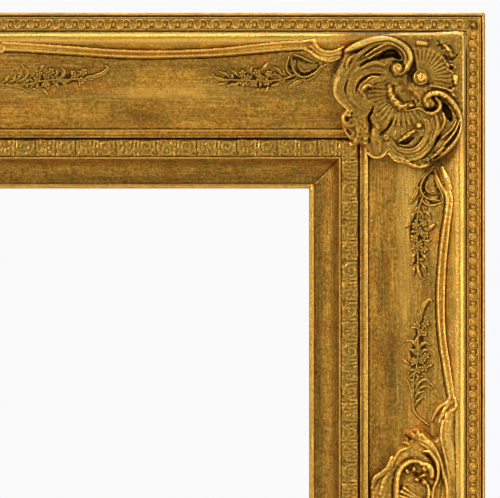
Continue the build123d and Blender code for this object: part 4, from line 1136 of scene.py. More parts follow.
centreSprig = [
    ("leaf", (1.2, 2.2, 2.2, 1.4), (2.4, 4.8, 5.4, 3),
     [(420.6, 321), (421.4, 312.4), (424.2, 304.6), (429, 299.6), (431.4, 300.8)]),
    ("round", (1.2, 1.9, 1.2), (2, 3, 2), [(417.8, 312.8), (418.6, 317), (419.4, 321)]),
    ("leaf", (1, 2, 1), (2.4, 4.2, 2.2), [(418, 352), (416.4, 345.4), (411.6, 341.2), (406.2, 341.4)]),
    ("leaf", (1, 2, 1), (2.4, 4.2, 2.2), [(418.4, 351.4), (421, 345.6), (425.6, 342.8), (430, 345.6)]),
    ("leaf", (0.9, 1.8, 0.9), (2, 3.4, 2), [(417.6, 346), (416.6, 340.6), (418.2, 335.6)]),
    ("leaf", (0.9, 1.7, 0.9), (2, 3.4, 2), [(416, 355), (412.6, 350.4), (408.6, 348.8)]),
    ("leaf", (0.9, 1.7, 0.9), (2, 3.4, 2), [(420.6, 354), (424.4, 350), (428.6, 350.6)]),
    ("round", (1.8, 2.4, 1.6), (2.6, 4, 2.8), [(408.8, 364), (405.6, 361.8), (403.6, 360)]),
    ("round", (1.8, 2.4, 1.6), (2.6, 3.8, 2.8), [(427.4, 366.4), (430.4, 365.4), (432.2, 363.6)]),
    ("round", 1.6, 2.2,
     [(419.4, 321), (418.4, 334), (418.2, 350), (417, 364), (413.8, 378), (413.2, 392), (413.4, 404)]),
    ("leaf", (1.2, 2.2, 1.8, 0.9), (2.4, 3.8, 3.4, 2),
     [(413.8, 405), (411.6, 392), (409.4, 385), (405.8, 379.6)]),
    ("leaf", (1, 1.8, 0.9), (2, 3, 1.8), [(413.6, 400), (413.2, 390), (411, 382)]),
    ("leaf", (1, 1.9, 0.9), (2, 3.4, 1.8), [(414.6, 386), (417.4, 379.4), (423, 376.4)]),
    ("leaf", (1.2, 2.1, 1.6, 0.9), (2.2, 3.6, 3.2, 1.8),
     [(415.2, 391), (419.4, 382.6), (425.2, 379.6), (430.2, 383.2), (435, 388.2)]),
    ("leaf", (1, 1.9, 0.9), (2, 3.4, 1.8), [(415, 397), (419.6, 388.8), (426, 386.2), (431.4, 389)]),
    ("leaf", (1, 1.9, 0.9), (2, 3.4, 1.8), [(414.8, 401), (417.4, 394), (424.6, 391.2)]),
    ("leaf", (1, 1.9, 0.9), (2, 3.4, 1.8), [(414.4, 407), (418.2, 400.6), (423.6, 397.6)]),
    ("round", (1.4, 2, 2, 1.4), (2.4, 3.4, 3.8, 3),
     [(412.6, 402), (413.8, 410), (418.2, 416.8), (424.5, 422), (428.4, 425.6)]),
]
centreFlowers = [
    (416.8, 326), (425.8, 323.6), (421.4, 333), (421.9, 360.6), (414, 361.6), (424.6, 368.2), (418.8, 370),
    (426, 356.2),
]


# Leaflets: place along the stem, lean in radians, place outward as a share of the spread, rise in
# millimetres, and width and length in photograph pixels
leaflet = {
    "along": (0.04, 0.96),
    "lean": (0.4, 1.3),
    "outward": (0.1, 0.75),
    "rise": (1.3, 2.0),
    "riseEnds": (0.9, 0.8),
    "width": (2.6, 3.6),
    "widthEnds": 1.6,
    "length": (2.4, 4.4),
}


def carveLeaflets(field, seed, line, spread, count):
    # small leaves set close together along a stem, leaning along it
    chance = np.random.default_rng(seed)
    stem = smoothLine(line)
    for number in range(count):
        at = int(chance.uniform(*leaflet["along"]) * (len(stem) - 2))
        run = stem[at + 1] - stem[at]
        angle = math.atan2(run[1], run[0]) + (1 if number % 2 else -1) * chance.uniform(*leaflet["lean"])
        way = np.array([math.cos(angle), math.sin(angle)])
        start = stem[at] + way * chance.uniform(*leaflet["outward"]) * spread
        rise = (leaflet["riseEnds"][0], chance.uniform(*leaflet["rise"]), leaflet["riseEnds"][1])
        width = (leaflet["widthEnds"], chance.uniform(*leaflet["width"]), leaflet["widthEnds"])
        end = start + way * chance.uniform(*leaflet["length"])
        carveLine(field, "leaf", rise, width, [start, end])


# Flower heads: how far out the petals are and how many degrees each head is turned, with the rise
# and radius of a petal and of the eye
flowerHead = {"petals": 5, "reach": 2.5, "turn": 25, "petal": (1.9, 1.75), "eye": (2.3, 1.1)}


sprigBed = ("soft", (0.3, 0.7, 0.3), (8, 17, 8))  # the low ground under a sprig: kind, rise and width


def sprigMesh(name, low, high, strokes, flowers, seed, stem, spread, leaflets):
    field = makeField(low, high, castings["sprig"]["step"])
    carveLine(field, *sprigBed, stem)
    carveLeaflets(field, seed, stem, spread, leaflets)
    for stroke in strokes:
        carveLine(field, *stroke)
    for number, flower in enumerate(flowers):
        for petal in range(flowerHead["petals"]):
            angle = math.radians(360 / flowerHead["petals"] * petal + flowerHead["turn"] * number)
            reach = flowerHead["reach"]
            spot = (flower[0] + reach * math.cos(angle), flower[1] + reach * math.sin(angle))
            carveBalls(field, *flowerHead["petal"], [spot])
        carveBalls(field, *flowerHead["eye"], [flower])
    grainField(field, *castings["sprig"]["grain"])
    return fieldMesh(name, field, "sprig")


def overMitre(mesh, name, fromCorner, nearer=0.0):
    # an upright piece turned over the mitre, either kept at its distance from the corner or from the
    # middle, and moved a few millimetres nearer to the middle where the photographed one lies there
    longer = halfWidth - halfHeight
    swap = Matrix(((0, 0, 1, -nearer * mm), (0, 1, 0, 0), (1, 0, 0, -longer * mm), (0, 0, 0, 1)))
    if fromCorner:
        swap[0][3] += longer * mm
    copy = mesh.copy()
    copy.name = name
    copy.transform(swap)
    copy.flip_normals()
    return copy


# each sprig: its span in the photograph, its strokes and flower heads, and its leaflets' seed, stem,
# spread and count
sprigMeshes = {
    "corner": sprigMesh("cornerSprig", (401, 163), (445, 283), cornerSprig, cornerFlowers, 71,
                        [(422, 200), (418, 222), (417, 244), (418, 266)], 8.5, 44),
    "centre": sprigMesh("centreSprig", (400, 295), (438, 429), centreSprig, centreFlowers, 72,
                        [(421, 318), (419, 342), (417, 366), (414, 384)], 8.5, 46),
}
sprigNearer = {"corner": 3.6, "centre": 6.2}  # millimetres nearer to the middle on the long rails
for kind, mesh in sprigMeshes.items():
    turned = overMitre(mesh, kind + "SprigAcross", kind == "corner", sprigNearer[kind])
    for quarter, signs in quarters.items():
        for way, one in (("across", turned), ("upright", mesh)):
            addCasting(kind + "_sprig_" + quarter + "_" + way, one, signs)
print("stage: sprigs made")


# The centre casting. Its upper half is carved and the lower half mirrors it.
centreCasting = {
    "low": (366, 410),
    "high": (460, 594),
    "edge": 2.6,
    "fanAt": 426,
    "boss": (5.2, 4.6, 424.4),  # rise, radius and place across
    "cutShare": 0.65,
    "middle": photo["topEdge"] + halfHeight / photo["mmPerPixel"],
    "groundAt": [18, 26, 34, 44, 55, 70, 75],
    "groundHeight": [46.6, 46.2, 45.2, 42.8, 39.2, 34.4, 33.4],
    "outline": [
        (370.4, 500), (370.2, 488), (371.4, 479), (376, 474.4), (382.4, 472.6), (386.4, 468), (390.4, 459.6),
        (394.4, 453), (397.4, 448), (402.4, 444.6), (404, 439), (402, 433.4), (405.4, 429.2), (412.4, 428.4),
        (420, 427.6), (427, 432.6), (433.4, 438.6), (438, 434), (440.4, 424), (445.4, 415.6), (453.6, 412.4),
        (455.8, 420), (454.8, 432), (455, 446), (456.4, 460), (457.6, 474), (458.2, 488), (458.4, 502),
    ],
}
centreStrokes = [
    ("soft", (0.6, 1, 1, 0.8), (10, 15, 14, 12),
     [(449.6, 416), (447.6, 434), (449.8, 452), (452.6, 472), (453.8, 503)]),
    ("ridge", (1.2, 1.9, 1.9, 1.6), 2.8,
     [(442.4, 421), (440.6, 432), (441.6, 443), (444.6, 456), (447.6, 470), (449.2, 486), (449.8, 503)]),
    ("leaf", (1, 2.2, 2, 1.2), (3, 6, 6, 4),
     [(389.6, 466.4), (382.4, 473.4), (375.4, 478.6), (372.4, 488)]),
    ("leaf", (1, 1.8, 1.4), (3, 5, 4), [(389, 474), (383.4, 482), (380.4, 494)]),
    ("soft", (0.6, 1, 1, 0.8), (5, 8, 9, 6),
     [(392.4, 458), (388.6, 468), (386, 478), (384, 490), (383.4, 503)]),
    ("round", (1.2, 1.5, 1.5, 1.4), (2.6, 3.6, 3.6, 3.6),
     [(408.4, 447.6), (400.4, 450.6), (395.4, 457.4), (391.8, 466)]),
    ("ridge cut", (1, 2.6, 2.8, 2.8), (2, 3, 3.4, 3.4),
     [(424, 458.6), (415.2, 457.4), (409.1, 458.5), (403, 461.9), (398.3, 467.3), (395, 474), (393.5, 483),
      (393, 503)]),
    ("round", (2.6, 4, 4.4, 4.2, 4), (4, 6, 6.6, 6.6, 6.6),
     [(421.4, 462.4), (413.4, 461), (406.4, 463.6), (401, 468.6), (397.8, 476), (396.6, 486),
      (396.4, 503)]),
    ("round", (1.8, 3.2, 3.8, 3.4, 2.6), (6, 10, 10, 8, 5),
     [(409, 435), (415.4, 436.4), (423.4, 441), (430.6, 447), (436, 455), (440, 464.6)]),
    ("round", (2.4, 4, 4, 3.4, 2.4), (2.4, 3.4, 3.4, 3.2, 2.4),
     [(420.8, 434), (427.2, 439.4), (431.6, 443.2), (435, 448), (437.8, 454), (440.4, 460.8), (442, 468),
      (443, 478)]),
    ("round", 4.4, (3.6, 5.2), [(411.2, 432.4), (413.6, 435.6)]),
    ("round", 4.6, (3.6, 5.4), [(417.6, 430.8), (419, 435.2)]),
    ("round", 4.2, (3.4, 4.8), [(422, 433.8), (424.4, 437.4)]),
    ("soft cut", 3.4, 6, [(406, 431), (405.8, 434.6), (409.6, 438.4)]),
    ("ridge cut", (1.2, 2.8, 2.6, 1.4), (1.8, 2.8, 2.6, 1.8),
     [(409.6, 438.4), (416.4, 440.4), (423.4, 443.4), (430.4, 448.4), (435.6, 455.4), (439.6, 463)]),
    ("round", (1.4, 2.4, 1.4), (3, 4.4, 3), [(403.4, 442.4), (407.4, 443.4), (409.6, 446.6)]),
    ("soft cut", 1.6, 3, [(405.4, 445.4), (410.4, 446)]),
    ("soft cut", (1.4, 3.4, 3, 1.6), (2.4, 4.4, 4.2, 2.6),
     [(420.6, 452.4), (427.4, 455.4), (433.4, 461.4), (435.6, 468.6)]),
    ("round", (2.6, 4.6, 4.6, 3.8, 3), (3, 5, 4.6, 3.6, 3),
     [(423.6, 451), (429, 451.6), (433, 455.6), (436.4, 461), (437.8, 467), (438, 474), (436.6, 481),
      (433.6, 488), (432.4, 496), (432.2, 503)]),
    ("round", (3, 4.4, 4), (5.6, 8, 6.6), [(421.4, 463.6), (427.4, 465.4), (431.4, 470.4), (431.8, 476)]),
    ("soft cut", (1.6, 4.4, 3), (3, 6.4, 5), [(411.6, 472.8), (417.8, 474.4), (422, 473)]),
    ("round", 4.8, 4.6, [(413.8, 468.4), (414, 469.8)]),
    ("round", 4.2, 4.6, [(406.8, 470.6), (407.4, 472)]),
    ("round", 4.2, 4.4, [(423.2, 468.4), (424.8, 470)]),
    ("round", 4, 4.6, [(416, 479), (417.2, 480)]),
    ("soft cut", 2, 2.6, [(419.8, 481.4), (421.8, 477.6), (426.4, 477.8)]),
    ("round", 5, 6.6, [(424.2, 482), (424.4, 482.2)]),
    ("round", (3, 4, 3.6), (3.4, 4.6, 4.6), [(427.6, 484.6), (428.8, 493), (426.8, 503)]),
    ("round", (2, 2.8, 2.2), (3, 4.4, 3.4), [(442.8, 470), (445.4, 480), (446.8, 490), (447, 503)]),
    ("ridge cut", (0.8, 2, 2), 2.6, [(439.6, 468), (441.2, 478), (440.6, 490), (439.4, 503)]),
]
# fans of flutes beside the middle: kind, rise, radii, angles, count and width
centreFans = [
    ("round", 3.2, (7, 27), (140, 220), 8, 4.8),
    ("round cut", 1.5, (6, 26), (135, 225), 9, 1.8),
]
# crests brightened with painted highlights and hollows darkened with painted shade: how much brighter, width
# and points
centreWearAndPaintedLight = [
    (0.9, 4.4, [(409.6, 432.6), (413.6, 435.6)]),
    ((0.9, 1, 0.8, 0.5), 3.6, [(417.8, 430.8), (421.4, 434.8), (427, 440), (434, 447.6)]),
    ((0.5, 0.9, 0.5), 4, [(423.6, 451), (430, 452.4), (434.4, 458)]),
    ((0.3, 0.6, 0.4), 9, [(449.4, 420), (447.4, 436), (450, 452), (453, 474)]),
    ((-0.5, -1.2, -0.6), 4.6, [(403.4, 430.4), (405.4, 435), (410, 438.4)]),
    ((-0.3, -0.6, -0.7, -0.5), 8, [(398, 451), (391, 462), (386, 470), (378, 477), (372, 488)]),
]


def uprightMirror(point):
    return (point[0], 2 * centreCasting["middle"] - point[1])


def carveHalves(field, kind, rise, width, points):
    carveLine(field, kind, rise, width, points)
    carveLine(field, kind, rise, width, [uprightMirror(point) for point in points])


field = makeField(centreCasting["low"], centreCasting["high"], castings["centre"]["step"],
                  lambda inward: np.interp(inward, centreCasting["groundAt"], centreCasting["groundHeight"]))
upperHalf = centreCasting["outline"]
centreOutline = upperHalf + [uprightMirror(point) for point in reversed(upperHalf)]
carvePad(field, centreOutline, centreCasting["edge"])
for kind, rise, *fan in centreFans:
    carveFan(field, kind, rise, (centreCasting["fanAt"], centreCasting["middle"]), *fan)
for kind, rise, width, points in centreStrokes:
    lift = np.multiply(rise, centreCasting["cutShare"] if kind.endswith("cut") else 1.0)
    carveHalves(field, kind, lift, width, points)
rise, radius, across = centreCasting["boss"]
carveBalls(field, rise, radius, [(across, centreCasting["middle"])])
for amount, width, points in centreWearAndPaintedLight:
    carveHalves(field, "soft rub", amount, width, points)
grainField(field, *castings["centre"]["grain"])
centreMesh = fieldMesh("centreCasting", field, "centre")
turnedCentre = overMitre(centreMesh, "centreCastingAcross", False)
for place, mesh, signs in (
    ("right", centreMesh, (1, 1)), ("left", centreMesh, (-1, 1)),
    ("top", turnedCentre, (1, 1)), ("bottom", turnedCentre, (1, -1)),
):
    addCasting("centre_ornament_" + place, mesh, signs)
print("stage: centre castings made", len(centreMesh.polygons), "faces each")


# Pressed strips. Each is a plain swept strip, and a node tree repeats one carved unit along it.
# A strip is laid out flat, as millimetres along, inward and up, and then put on its side of the frame.
def makeRepeatTree():
    tree = bpy.data.node_groups.new("repeatAlongStrip", "GeometryNodeTree")
    tree.interface.new_socket("Strip", in_out="OUTPUT", socket_type="NodeSocketGeometry")
    for name, kind in (
        ("Strip", "Geometry"), ("Unit", "Object"), ("Count", "Int"), ("Start", "Vector"),
        ("Spacing", "Float"), ("Turn", "Float"), ("Swell", "Float"), ("Seed", "Int"), ("Finish", "Material"),
    ):
        tree.interface.new_socket(name, in_out="INPUT", socket_type="NodeSocket" + kind)
    given = addNode(tree, "NodeGroupInput")
    step = addNode(tree, "ShaderNodeCombineXYZ", {}, {"X": (given, "Spacing")})
    line = addNode(tree, "GeometryNodeMeshLine", {"mode": "OFFSET"}, {
        "Count": (given, "Count"), "Start Location": (given, "Start"), "Offset": (step, 0)})
    unit = addNode(tree, "GeometryNodeObjectInfo", {}, {"Object": (given, "Unit"), "As Instance": True})
    turnBack = addNode(tree, "ShaderNodeMath", {"operation": "MULTIPLY"}, {0: (given, "Turn"), 1: -1.0})
    turn = addNode(tree, "FunctionNodeRandomValue", {"data_type": "FLOAT"}, {
        2: (turnBack, 0), 3: (given, "Turn"), "Seed": (given, "Seed")})
    turned = addNode(tree, "ShaderNodeCombineXYZ", {}, {"Z": (turn, 1)})
    smallest = addNode(tree, "ShaderNodeMath", {"operation": "SUBTRACT"}, {0: 1.0, 1: (given, "Swell")})
    size = addNode(tree, "FunctionNodeRandomValue", {"data_type": "FLOAT"}, {
        2: (smallest, 0), 3: 1.0, "Seed": (given, "Seed")})
    placed = addNode(tree, "GeometryNodeInstanceOnPoints", {}, {
        "Points": (line, 0), "Instance": (unit, "Geometry"), "Rotation": (turned, 0), "Scale": (size, 1)})
    joined = addNode(tree, "GeometryNodeJoinGeometry")
    tree.links.new(given.outputs["Strip"], joined.inputs[0])
    tree.links.new(placed.outputs[0], joined.inputs[0])
    real = addNode(tree, "GeometryNodeRealizeInstances", {}, {0: (joined, 0)})
    finished = addNode(tree, "GeometryNodeSetMaterial", {}, {
        "Geometry": (real, 0), "Material": (given, "Finish")})
    addNode(tree, "NodeGroupOutput", {}, {0: (finished, 0)})
    return tree


def flatMesh(name, points, faces, carve):
    mesh = bpy.data.meshes.new(name)
    mesh.from_pydata([tuple(point) for point in points], [], faces)
    addAttribute(mesh, "carve", carve)
    return mesh


stripStep = 6.0  # millimetres between the sections of a plain strip
grainAbove = 0.3  # the strips' grain starts at this height above their seat


def sweptStrip(name, loop, carve, length):
    # a closed section, as (inward, up), swept between two mitres
    steps = int(length / stripStep)
    points = []
    for row in range(steps + 1):
        for inward, height in loop:
            points.append((inward + row / steps * (length - 2 * inward), inward, height))
    count = len(loop)
    faces = netFaces(steps + 1, count)
    faces.append(tuple(range(count)))
    faces.append(tuple(range(steps * count, (steps + 1) * count))[::-1])
    return flatMesh(name, points, faces, list(carve) * (steps + 1))


def repeatUnit(side, strip, unit, settings, seed):
    # the node tree lays the unit along the strip, and the result becomes a plain mesh
    carrier = bpy.data.objects.new("stripCarrier", strip)
    pattern = bpy.data.objects.new("stripUnit", unit)
    for thing in (carrier, pattern):
        bpy.context.scene.collection.objects.link(thing)
    room = sideLength[side] - 2 * settings["endGap"]
    count = int(room / settings["pitch"][side])
    spacing = room / count
    repeat = carrier.modifiers.new("repeat", "NODES")
    repeat.node_group = repeatTree
    values = {
        "Unit": pattern, "Count": count, "Spacing": spacing,
        "Start": (settings["endGap"] + spacing / 2, settings["centreLine"], 0.0),
        "Turn": math.radians(settings["turn"]), "Swell": settings["swell"], "Seed": seed,
        "Finish": stripGilding,
    }
    for socket in repeatTree.interface.items_tree:
        if socket.in_out == "INPUT" and socket.name in values:
            repeat[socket.identifier] = values[socket.name]
    bpy.context.view_layer.update()
    result = bpy.data.meshes.new_from_object(carrier.evaluated_get(bpy.context.evaluated_depsgraph_get()))
    carrier.modifiers.clear()
    bpy.data.objects.remove(carrier)
    bpy.data.objects.remove(pattern)
    return result


def putOnSide(mesh, side, settings, seed):
    # from flat strip places to the frame; the seat is the moulding's height under the strip
    points = np.empty(3 * len(mesh.vertices), np.float32)
    mesh.vertices.foreach_get("co", points)
    along, inward, height = points.reshape(-1, 3).astype(float).T
    lifted = height > grainAbove
    amount, size = settings["noise"]
    rough = amount * smoothNoise(along, inward, size, seed)
    rough = rough + 0.5 * amount * smoothNoise(along, inward, 0.5 * size, seed + 1)
    height = height + np.where(lifted, rough, 0) + np.interp(inward, *settings["seat"])
    x, z = sides[side](along, inward)
    corners = np.stack([x, -timberBack - height, z], 1) * mm
    mesh.vertices.foreach_set("co", corners.astype(np.float32).ravel())
    addAttribute(mesh, "railPlace", np.stack([along, inward, height], 1), "FLOAT_VECTOR")
    addAttribute(mesh, "patina", np.full(len(along), settings["patina"][side]))
    if side in ("bottom", "right"):
        mesh.flip_normals()
    mesh.update()
    mesh.shade_smooth()
    return mesh


repeatTree = makeRepeatTree()

# Egg and dart: a bright egg, then a U shaped collar that is open to the outer edge
eggBand = {
    "pitch": {"top": 8.05, "bottom": 8.05, "right": 7.6, "left": 7.6},
    # the top and bottom strips carry more toning as painted shade, so that they are darker than the stiles'
    # strips
    "patina": {"top": 0.5, "bottom": 0.5, "right": 0.0, "left": 0.0},
    "seat": ((3.8, 11.5), (23.0, 29.5)),
    "noise": (0.10, 1.8),
    "endGap": 12.0,
    "centreLine": 7.65,
    "turn": 2.5,
    "swell": 0.05,
    # the plain strip: (inward, up), and how hollow or proud it is there
    "loop": [
        (3.8, -0.2), (3.8, 0.7), (4.1, 1.15), (4.5, 1.1), (4.8, 0.45), (10.6, 0.45), (10.9, 1.0), (11.3, 1.0),
        (11.5, 0.6), (11.5, -0.2),
    ],
    "carve": [-0.3, 0.0, 0.6, 0.5, 0.12, 0.05, 0.5, 0.4, 0.0, -0.3],
    "eggRadius": (1.75, 2.25),
    "eggHeight": 2.0,
    "eggSides": 10,
    "eggInward": -0.1,
    # the egg's rings: share of its radius, share of half its height, and how hollow or proud
    "eggRings": ((1.0, 0.3, -0.6), (0.86, 1.25, 0.0), (0.5, 1.85, 0.2)),
    "eggTop": 0.4,
    "collarLine": [(-2.3, -2.5), (-1.9, 0.4), (-1.3, 2.0), (0, 2.65), (1.3, 2.0), (1.9, 0.4), (2.3, -2.5)],
    "collarWidth": 0.6,
    "collarHeight": 1.7,
    "archLine": [(-3.0, -1.7), (-1.7, -2.75), (0, -3.1), (1.7, -2.75), (3.0, -1.7)],
    "archWidth": 0.42,
    "archHeight": 1.25,
    # across a collar or arch: share of its width, share of its height, and how hollow or proud
    "bar": ((-1, 0.2, -0.7), (-0.45, 1.0, 0.85), (0.45, 1.0, 0.85), (1, 0.2, -0.7)),
}
# where two egg strips meet, a leaf of eight points: how far out, how high, and how hollow or proud
cornerLeaf = {"points": 8, "tip": (3.1, 0.6, 0.2), "notch": (1.5, 0.9, -0.6), "top": (0.0, 2.1, 0.7)}


def eggUnit():
    points, carve = [], []
    count = eggBand["eggSides"]
    radiusAlong, radiusInward = eggBand["eggRadius"]
    shift = eggBand["eggInward"]
    for out, up, dark in eggBand["eggRings"]:
        for step in range(count):
            angle = 2 * math.pi * step / count
            spot = (out * radiusAlong * math.cos(angle), out * radiusInward * math.sin(angle) + shift)
            points.append((*spot, up * eggBand["eggHeight"] / 2))
            carve.append(dark)
    points.append((0, shift, eggBand["eggHeight"]))
    carve.append(eggBand["eggTop"])
    top = len(points) - 1
    faces = netFaces(len(eggBand["eggRings"]), count, turned=True)
    for step in range(count):
        faces.append((top - count + step, top - count + (step + 1) % count, top))
    faces.append(tuple(range(count))[::-1])
    across = len(eggBand["bar"])
    for kind, shift in (("collar", eggBand["pitch"]["right"] / 2), ("arch", 0.0)):
        line = np.array(eggBand[kind + "Line"], float)
        run = np.gradient(line, axis=0)
        run /= np.linalg.norm(run, axis=1)[:, None]
        aside = np.stack([-run[:, 1], run[:, 0]], 1)
        base = len(points)
        for spot, off in zip(line, aside):
            for push, up, dark in eggBand["bar"]:
                x, y = spot + off * push * eggBand[kind + "Width"]
                points.append((x + shift, y, up * eggBand[kind + "Height"]))
                carve.append(dark)
        faces += netFaces(len(line), across, base=base)
        faces.append(tuple(range(base, base + across)))
        faces.append(tuple(range(len(points) - across, len(points)))[::-1])
    return flatMesh("eggUnit", points, faces, carve)


def addCornerLeaf(strip, length):
    shell = bmesh.new()
    shell.from_mesh(strip)
    dark = shell.verts.layers.float["carve"]
    middle = eggBand["centreLine"]
    count = 2 * cornerLeaf["points"]
    for along in (middle, length - middle):
        ring = []
        for step in range(-1, count):
            kind = "top" if step < 0 else ("tip", "notch")[step % 2]
            out, up, carve = cornerLeaf[kind]
            angle = 2 * math.pi * step / count
            ring.append(shell.verts.new((along + out * math.cos(angle), middle + out * math.sin(angle), up)))
            ring[-1][dark] = carve
        top, *rim = ring
        for step in range(count):
            shell.faces.new((rim[step], rim[(step + 1) % count], top))
        shell.faces.new(rim[::-1])
    shell.to_mesh(strip)
    shell.free()


def addStrip(kind, side, band, strip, unit, seeds):
    # the repeated unit and the plain strip become one carved piece on its side of the frame
    mesh = putOnSide(repeatUnit(side, strip, unit, band, seeds[0]), side, band, seeds[1])
    name = kind + "_strip_" + side
    addPiece(name + "_carved", mesh, stripGilding, [name])


unit = eggUnit()
for number, side in enumerate(sides):
    strip = sweptStrip("eggStrip", eggBand["loop"], eggBand["carve"], sideLength[side])
    if side in ("top", "bottom"):
        addCornerLeaf(strip, sideLength[side])
    addStrip("bead", side, eggBand, strip, unit, (5 + number, 51 + number))
print("stage: egg strips made")

# The leaf strip inside the fillet: scallops and rosettes, granular and softly cast
leafBand = {
    "pitch": dict.fromkeys(sides, 24.6),
    "patina": dict.fromkeys(sides, 0.8),
    "seat": ((79.0, 92.0), (30.5, 30.5)),
    "noise": (0.38, 1.5),
    "endGap": 80.5,
    "centreLine": 85.6,
    "turn": 0.0,
    "swell": 0.0,
    # one unit: its length, where it is in the photograph, the net's step, the ground and what lies on it
    "length": 24.6,
    "from": (200, 138.9),
    "to": 156.6,
    "step": 0.66,
    "ground": 1.7,
    "pad": 0.5,
    # the scalloped edge by the fillet, and the round edge by the sight: where, and over what distance
    "scallop": (80.1, 0.7),
    "waves": ((0.32, 2, 0.0), (0.2, 6, 0.7)),
    "sightEdge": (91.0, 0.8),
    "sightHeight": 0.4,
    # a crest is judged over this many net steps and whole at this height, and the edge by the fillet is this
    # dark, a painted shadow line
    "crest": (2, 0.45),
    "edgeShade": 0.9,
    "loop": [(79.9, 0.0), (79.95, 1.2), (80.6, 1.5), (90.6, 1.5), (91.25, 1.1), (91.3, 0.0)],
    "carve": [-1, -0.9, -0.2, -0.2, -0.2, -0.5],
    # the strip's edge by the fillet is darkest, a painted shadow line where it meets the fillet
    "strokes": [
        ("round", 0.95, 2.8,
         [(201.4, 140.6), (202.2, 148.6), (205, 153), (210, 154.8), (215, 153), (217.8, 148.6),
          (218.4, 140.6)]),
        ("round", 0.95, 2.8,
         [(221.4, 140.6), (222.2, 148), (225, 152.6), (229.6, 154.6), (234.4, 152.6), (237.2, 148),
          (238.2, 140.6)]),
        ("round", 1.15, 4.6, [(209.6, 144.6), (210.2, 145)]),
        ("ridge cut", 0.8, 1.8, [(209.4, 144.8), (210.4, 144.8)]),
        ("leaf", 0.95, 3, [(207, 147.6), (205.6, 150.8)]),
        ("leaf", 0.95, 3, [(210, 148.6), (210, 152.8)]),
        ("leaf", 0.95, 3, [(213, 147.6), (214.6, 150.8)]),
        ("round", 0.95, 2.6, [(204.8, 142.6), (206, 144.2)]),
        ("round", 0.95, 2.6, [(214.2, 144.2), (215.2, 142.4)]),
        ("round", 1, (2.4, 3, 2.4),
         [(226, 150.6), (224.8, 146.4), (227, 142.8), (231.4, 142.6), (233.6, 146), (231.4, 149.4),
          (228.6, 148)]),
        ("round", 0.9, 2.6, [(234.8, 148.4), (233, 151.6)]),
        ("soft cut", 1.6, 3.2, [(219.8, 152.6), (219.9, 155.4)]),
        ("soft cut", 1.6, 3, [(200.6, 152.4), (200.5, 155.4)]),
        ("soft cut", 1.2, 2.4, [(219.9, 143), (219.8, 146.4)]),
        ("soft cut", 1, 2.4, [(236.4, 153), (238.6, 155.6)]),
    ],
}


def leafUnit():
    length = leafBand["length"]
    left, top = leafBand["from"]
    high = (left + length / photo["mmPerPixel"], leafBand["to"])
    field = makeField((left, top), high, leafBand["step"])
    along = np.linspace(0, length, field["along"].shape[0])[:, None]
    inward = field["inward"][:1]
    field["ground"] = np.full(field["bed"].shape, leafBand["ground"])
    field["height"] = field["ground"] + leafBand["pad"]
    for stroke in leafBand["strokes"]:
        carveLine(field, *stroke)
    scallop, scallopEdge = leafBand["scallop"]
    fromEdge = inward - scallop
    for amount, times, shift in leafBand["waves"]:
        fromEdge = fromEdge - amount * np.sin(times * math.pi * along / length + shift)
    edge = np.clip(fromEdge / scallopEdge, 0, 1)
    sight, sightEdge = leafBand["sightEdge"]
    toEnd = np.clip((sight - inward) / sightEdge, 0, 1)
    lowest = leafBand["sightHeight"]
    height = field["height"] * np.sqrt(edge) * (lowest + (1 - lowest) * toEnd)
    reach, whole = leafBand["crest"]
    # painted shadow along the scalloped edge by the fillet
    carve = (field["height"] - blurred(field["height"], reach)) / whole - leafBand["edgeShade"] * (1 - edge)
    spots = np.stack(np.broadcast_arrays(along - length / 2, inward - leafBand["centreLine"], height), -1)
    faces = netFaces(*height.shape, closed=False)
    return flatMesh("leafUnit", spots.reshape(-1, 3), faces, np.clip(carve, -1, 1).ravel())


unit = leafUnit()
for number, side in enumerate(sides):
    strip = sweptStrip("leafStrip", leafBand["loop"], leafBand["carve"], sideLength[side])
    addStrip("leaf", side, leafBand, strip, unit, (15 + number, 61 + number))
print("stage: leaf strips made")


# Camera, light and floor
def lookAt(thing, target):
    thing.rotation_euler = (Vector(target) - thing.location).to_track_quat("-Z", "Y").to_euler()


faceDepth = -0.046  # the camera shows this depth at the photograph's scale
distance = photo["width"] * photo["mmPerPixel"] * mm * photo["lens"] / photo["sensor"]
centreX = (halfWidth - (photo["rightEdge"] - photo["centre"][0]) * photo["mmPerPixel"]) * mm
centreZ = (halfHeight - (photo["centre"][1] - photo["topEdge"]) * photo["mmPerPixel"]) * mm
camera = bpy.data.objects.new("camera", bpy.data.cameras.new("camera"))
camera.data.lens = photo["lens"]
camera.data.sensor_width = photo["sensor"]
camera.data.clip_end = 80
camera.location = (centreX, faceDepth - distance, centreZ)
camera.rotation_euler = (math.radians(90), 0, 0)
bpy.context.scene.collection.objects.link(camera)
bpy.context.scene.camera = camera

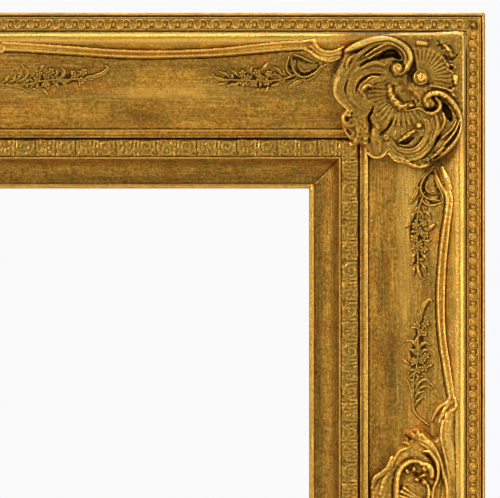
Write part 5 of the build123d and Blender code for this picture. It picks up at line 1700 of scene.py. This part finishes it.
lamps = {
    "key": {"at": (-1.6, -1.5, 1.3), "size": 0.8, "power": 40.0},
    "fill": {"at": (2.1, -1.5, 0.3), "size": 2.0, "power": 33.0},
    "above": {"at": (0.5, -0.7, 2.3), "size": 1.2, "power": 20.0},
    "behind": {"at": (0.8, 2.6, 1.6), "size": 1.6, "power": 45.0},
}
lampTarget = (0.2, 0, 0.15)
roomLight = {"onFrame": 0.34, "seen": 0.956}
for name, lamp in lamps.items():
    light = bpy.data.objects.new(name, bpy.data.lights.new(name, "AREA"))
    light.data.size = lamp["size"]
    light.data.energy = lamp["power"]
    light.location = lamp["at"]
    lookAt(light, lampTarget)
    bpy.context.scene.collection.objects.link(light)

room = bpy.data.worlds.new("room")
room.use_nodes = True
bpy.context.scene.world = room
tree = room.node_tree
tree.nodes.clear()
seen = addNode(tree, "ShaderNodeLightPath")
amount = addNode(tree, "ShaderNodeMapRange", {}, {
    "Value": (seen, "Is Camera Ray"), "To Min": roomLight["onFrame"], "To Max": roomLight["seen"]})
glow = addNode(tree, "ShaderNodeBackground", {}, {"Color": (1, 1, 1, 1), "Strength": (amount, 0)})
addNode(tree, "ShaderNodeOutputWorld", {}, {"Surface": (glow, 0)})
bpy.context.scene.view_settings.view_transform = "Standard"

floorSize = 5.5
floorMesh = bpy.data.meshes.new("floor")
floorZ = -halfHeight * mm
floorCorners = [(x * floorSize, y * floorSize, floorZ) for x, y in ((-1, -1), (1, -1), (1, 1), (-1, 1))]
floorMesh.from_pydata(floorCorners, [], [(0, 1, 2, 3)])
floor = bpy.data.objects.new("floor", floorMesh)
bpy.context.scene.collection.objects.link(floor)
floorPaint, tree = newMaterial("palePaint")
paint = addNode(tree, "ShaderNodeBsdfPrincipled", {}, {"Base Color": linear("#E4E4E2"), "Roughness": 0.8})
addNode(tree, "ShaderNodeOutputMaterial", {}, {"Surface": (paint, 0)})
floor.data.materials.append(floorPaint)
floor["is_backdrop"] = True
print("stage: camera, light and floor made")

{"cad": [list(corner) for corner in cadBounds], "visual": [list(corner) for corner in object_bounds()]}
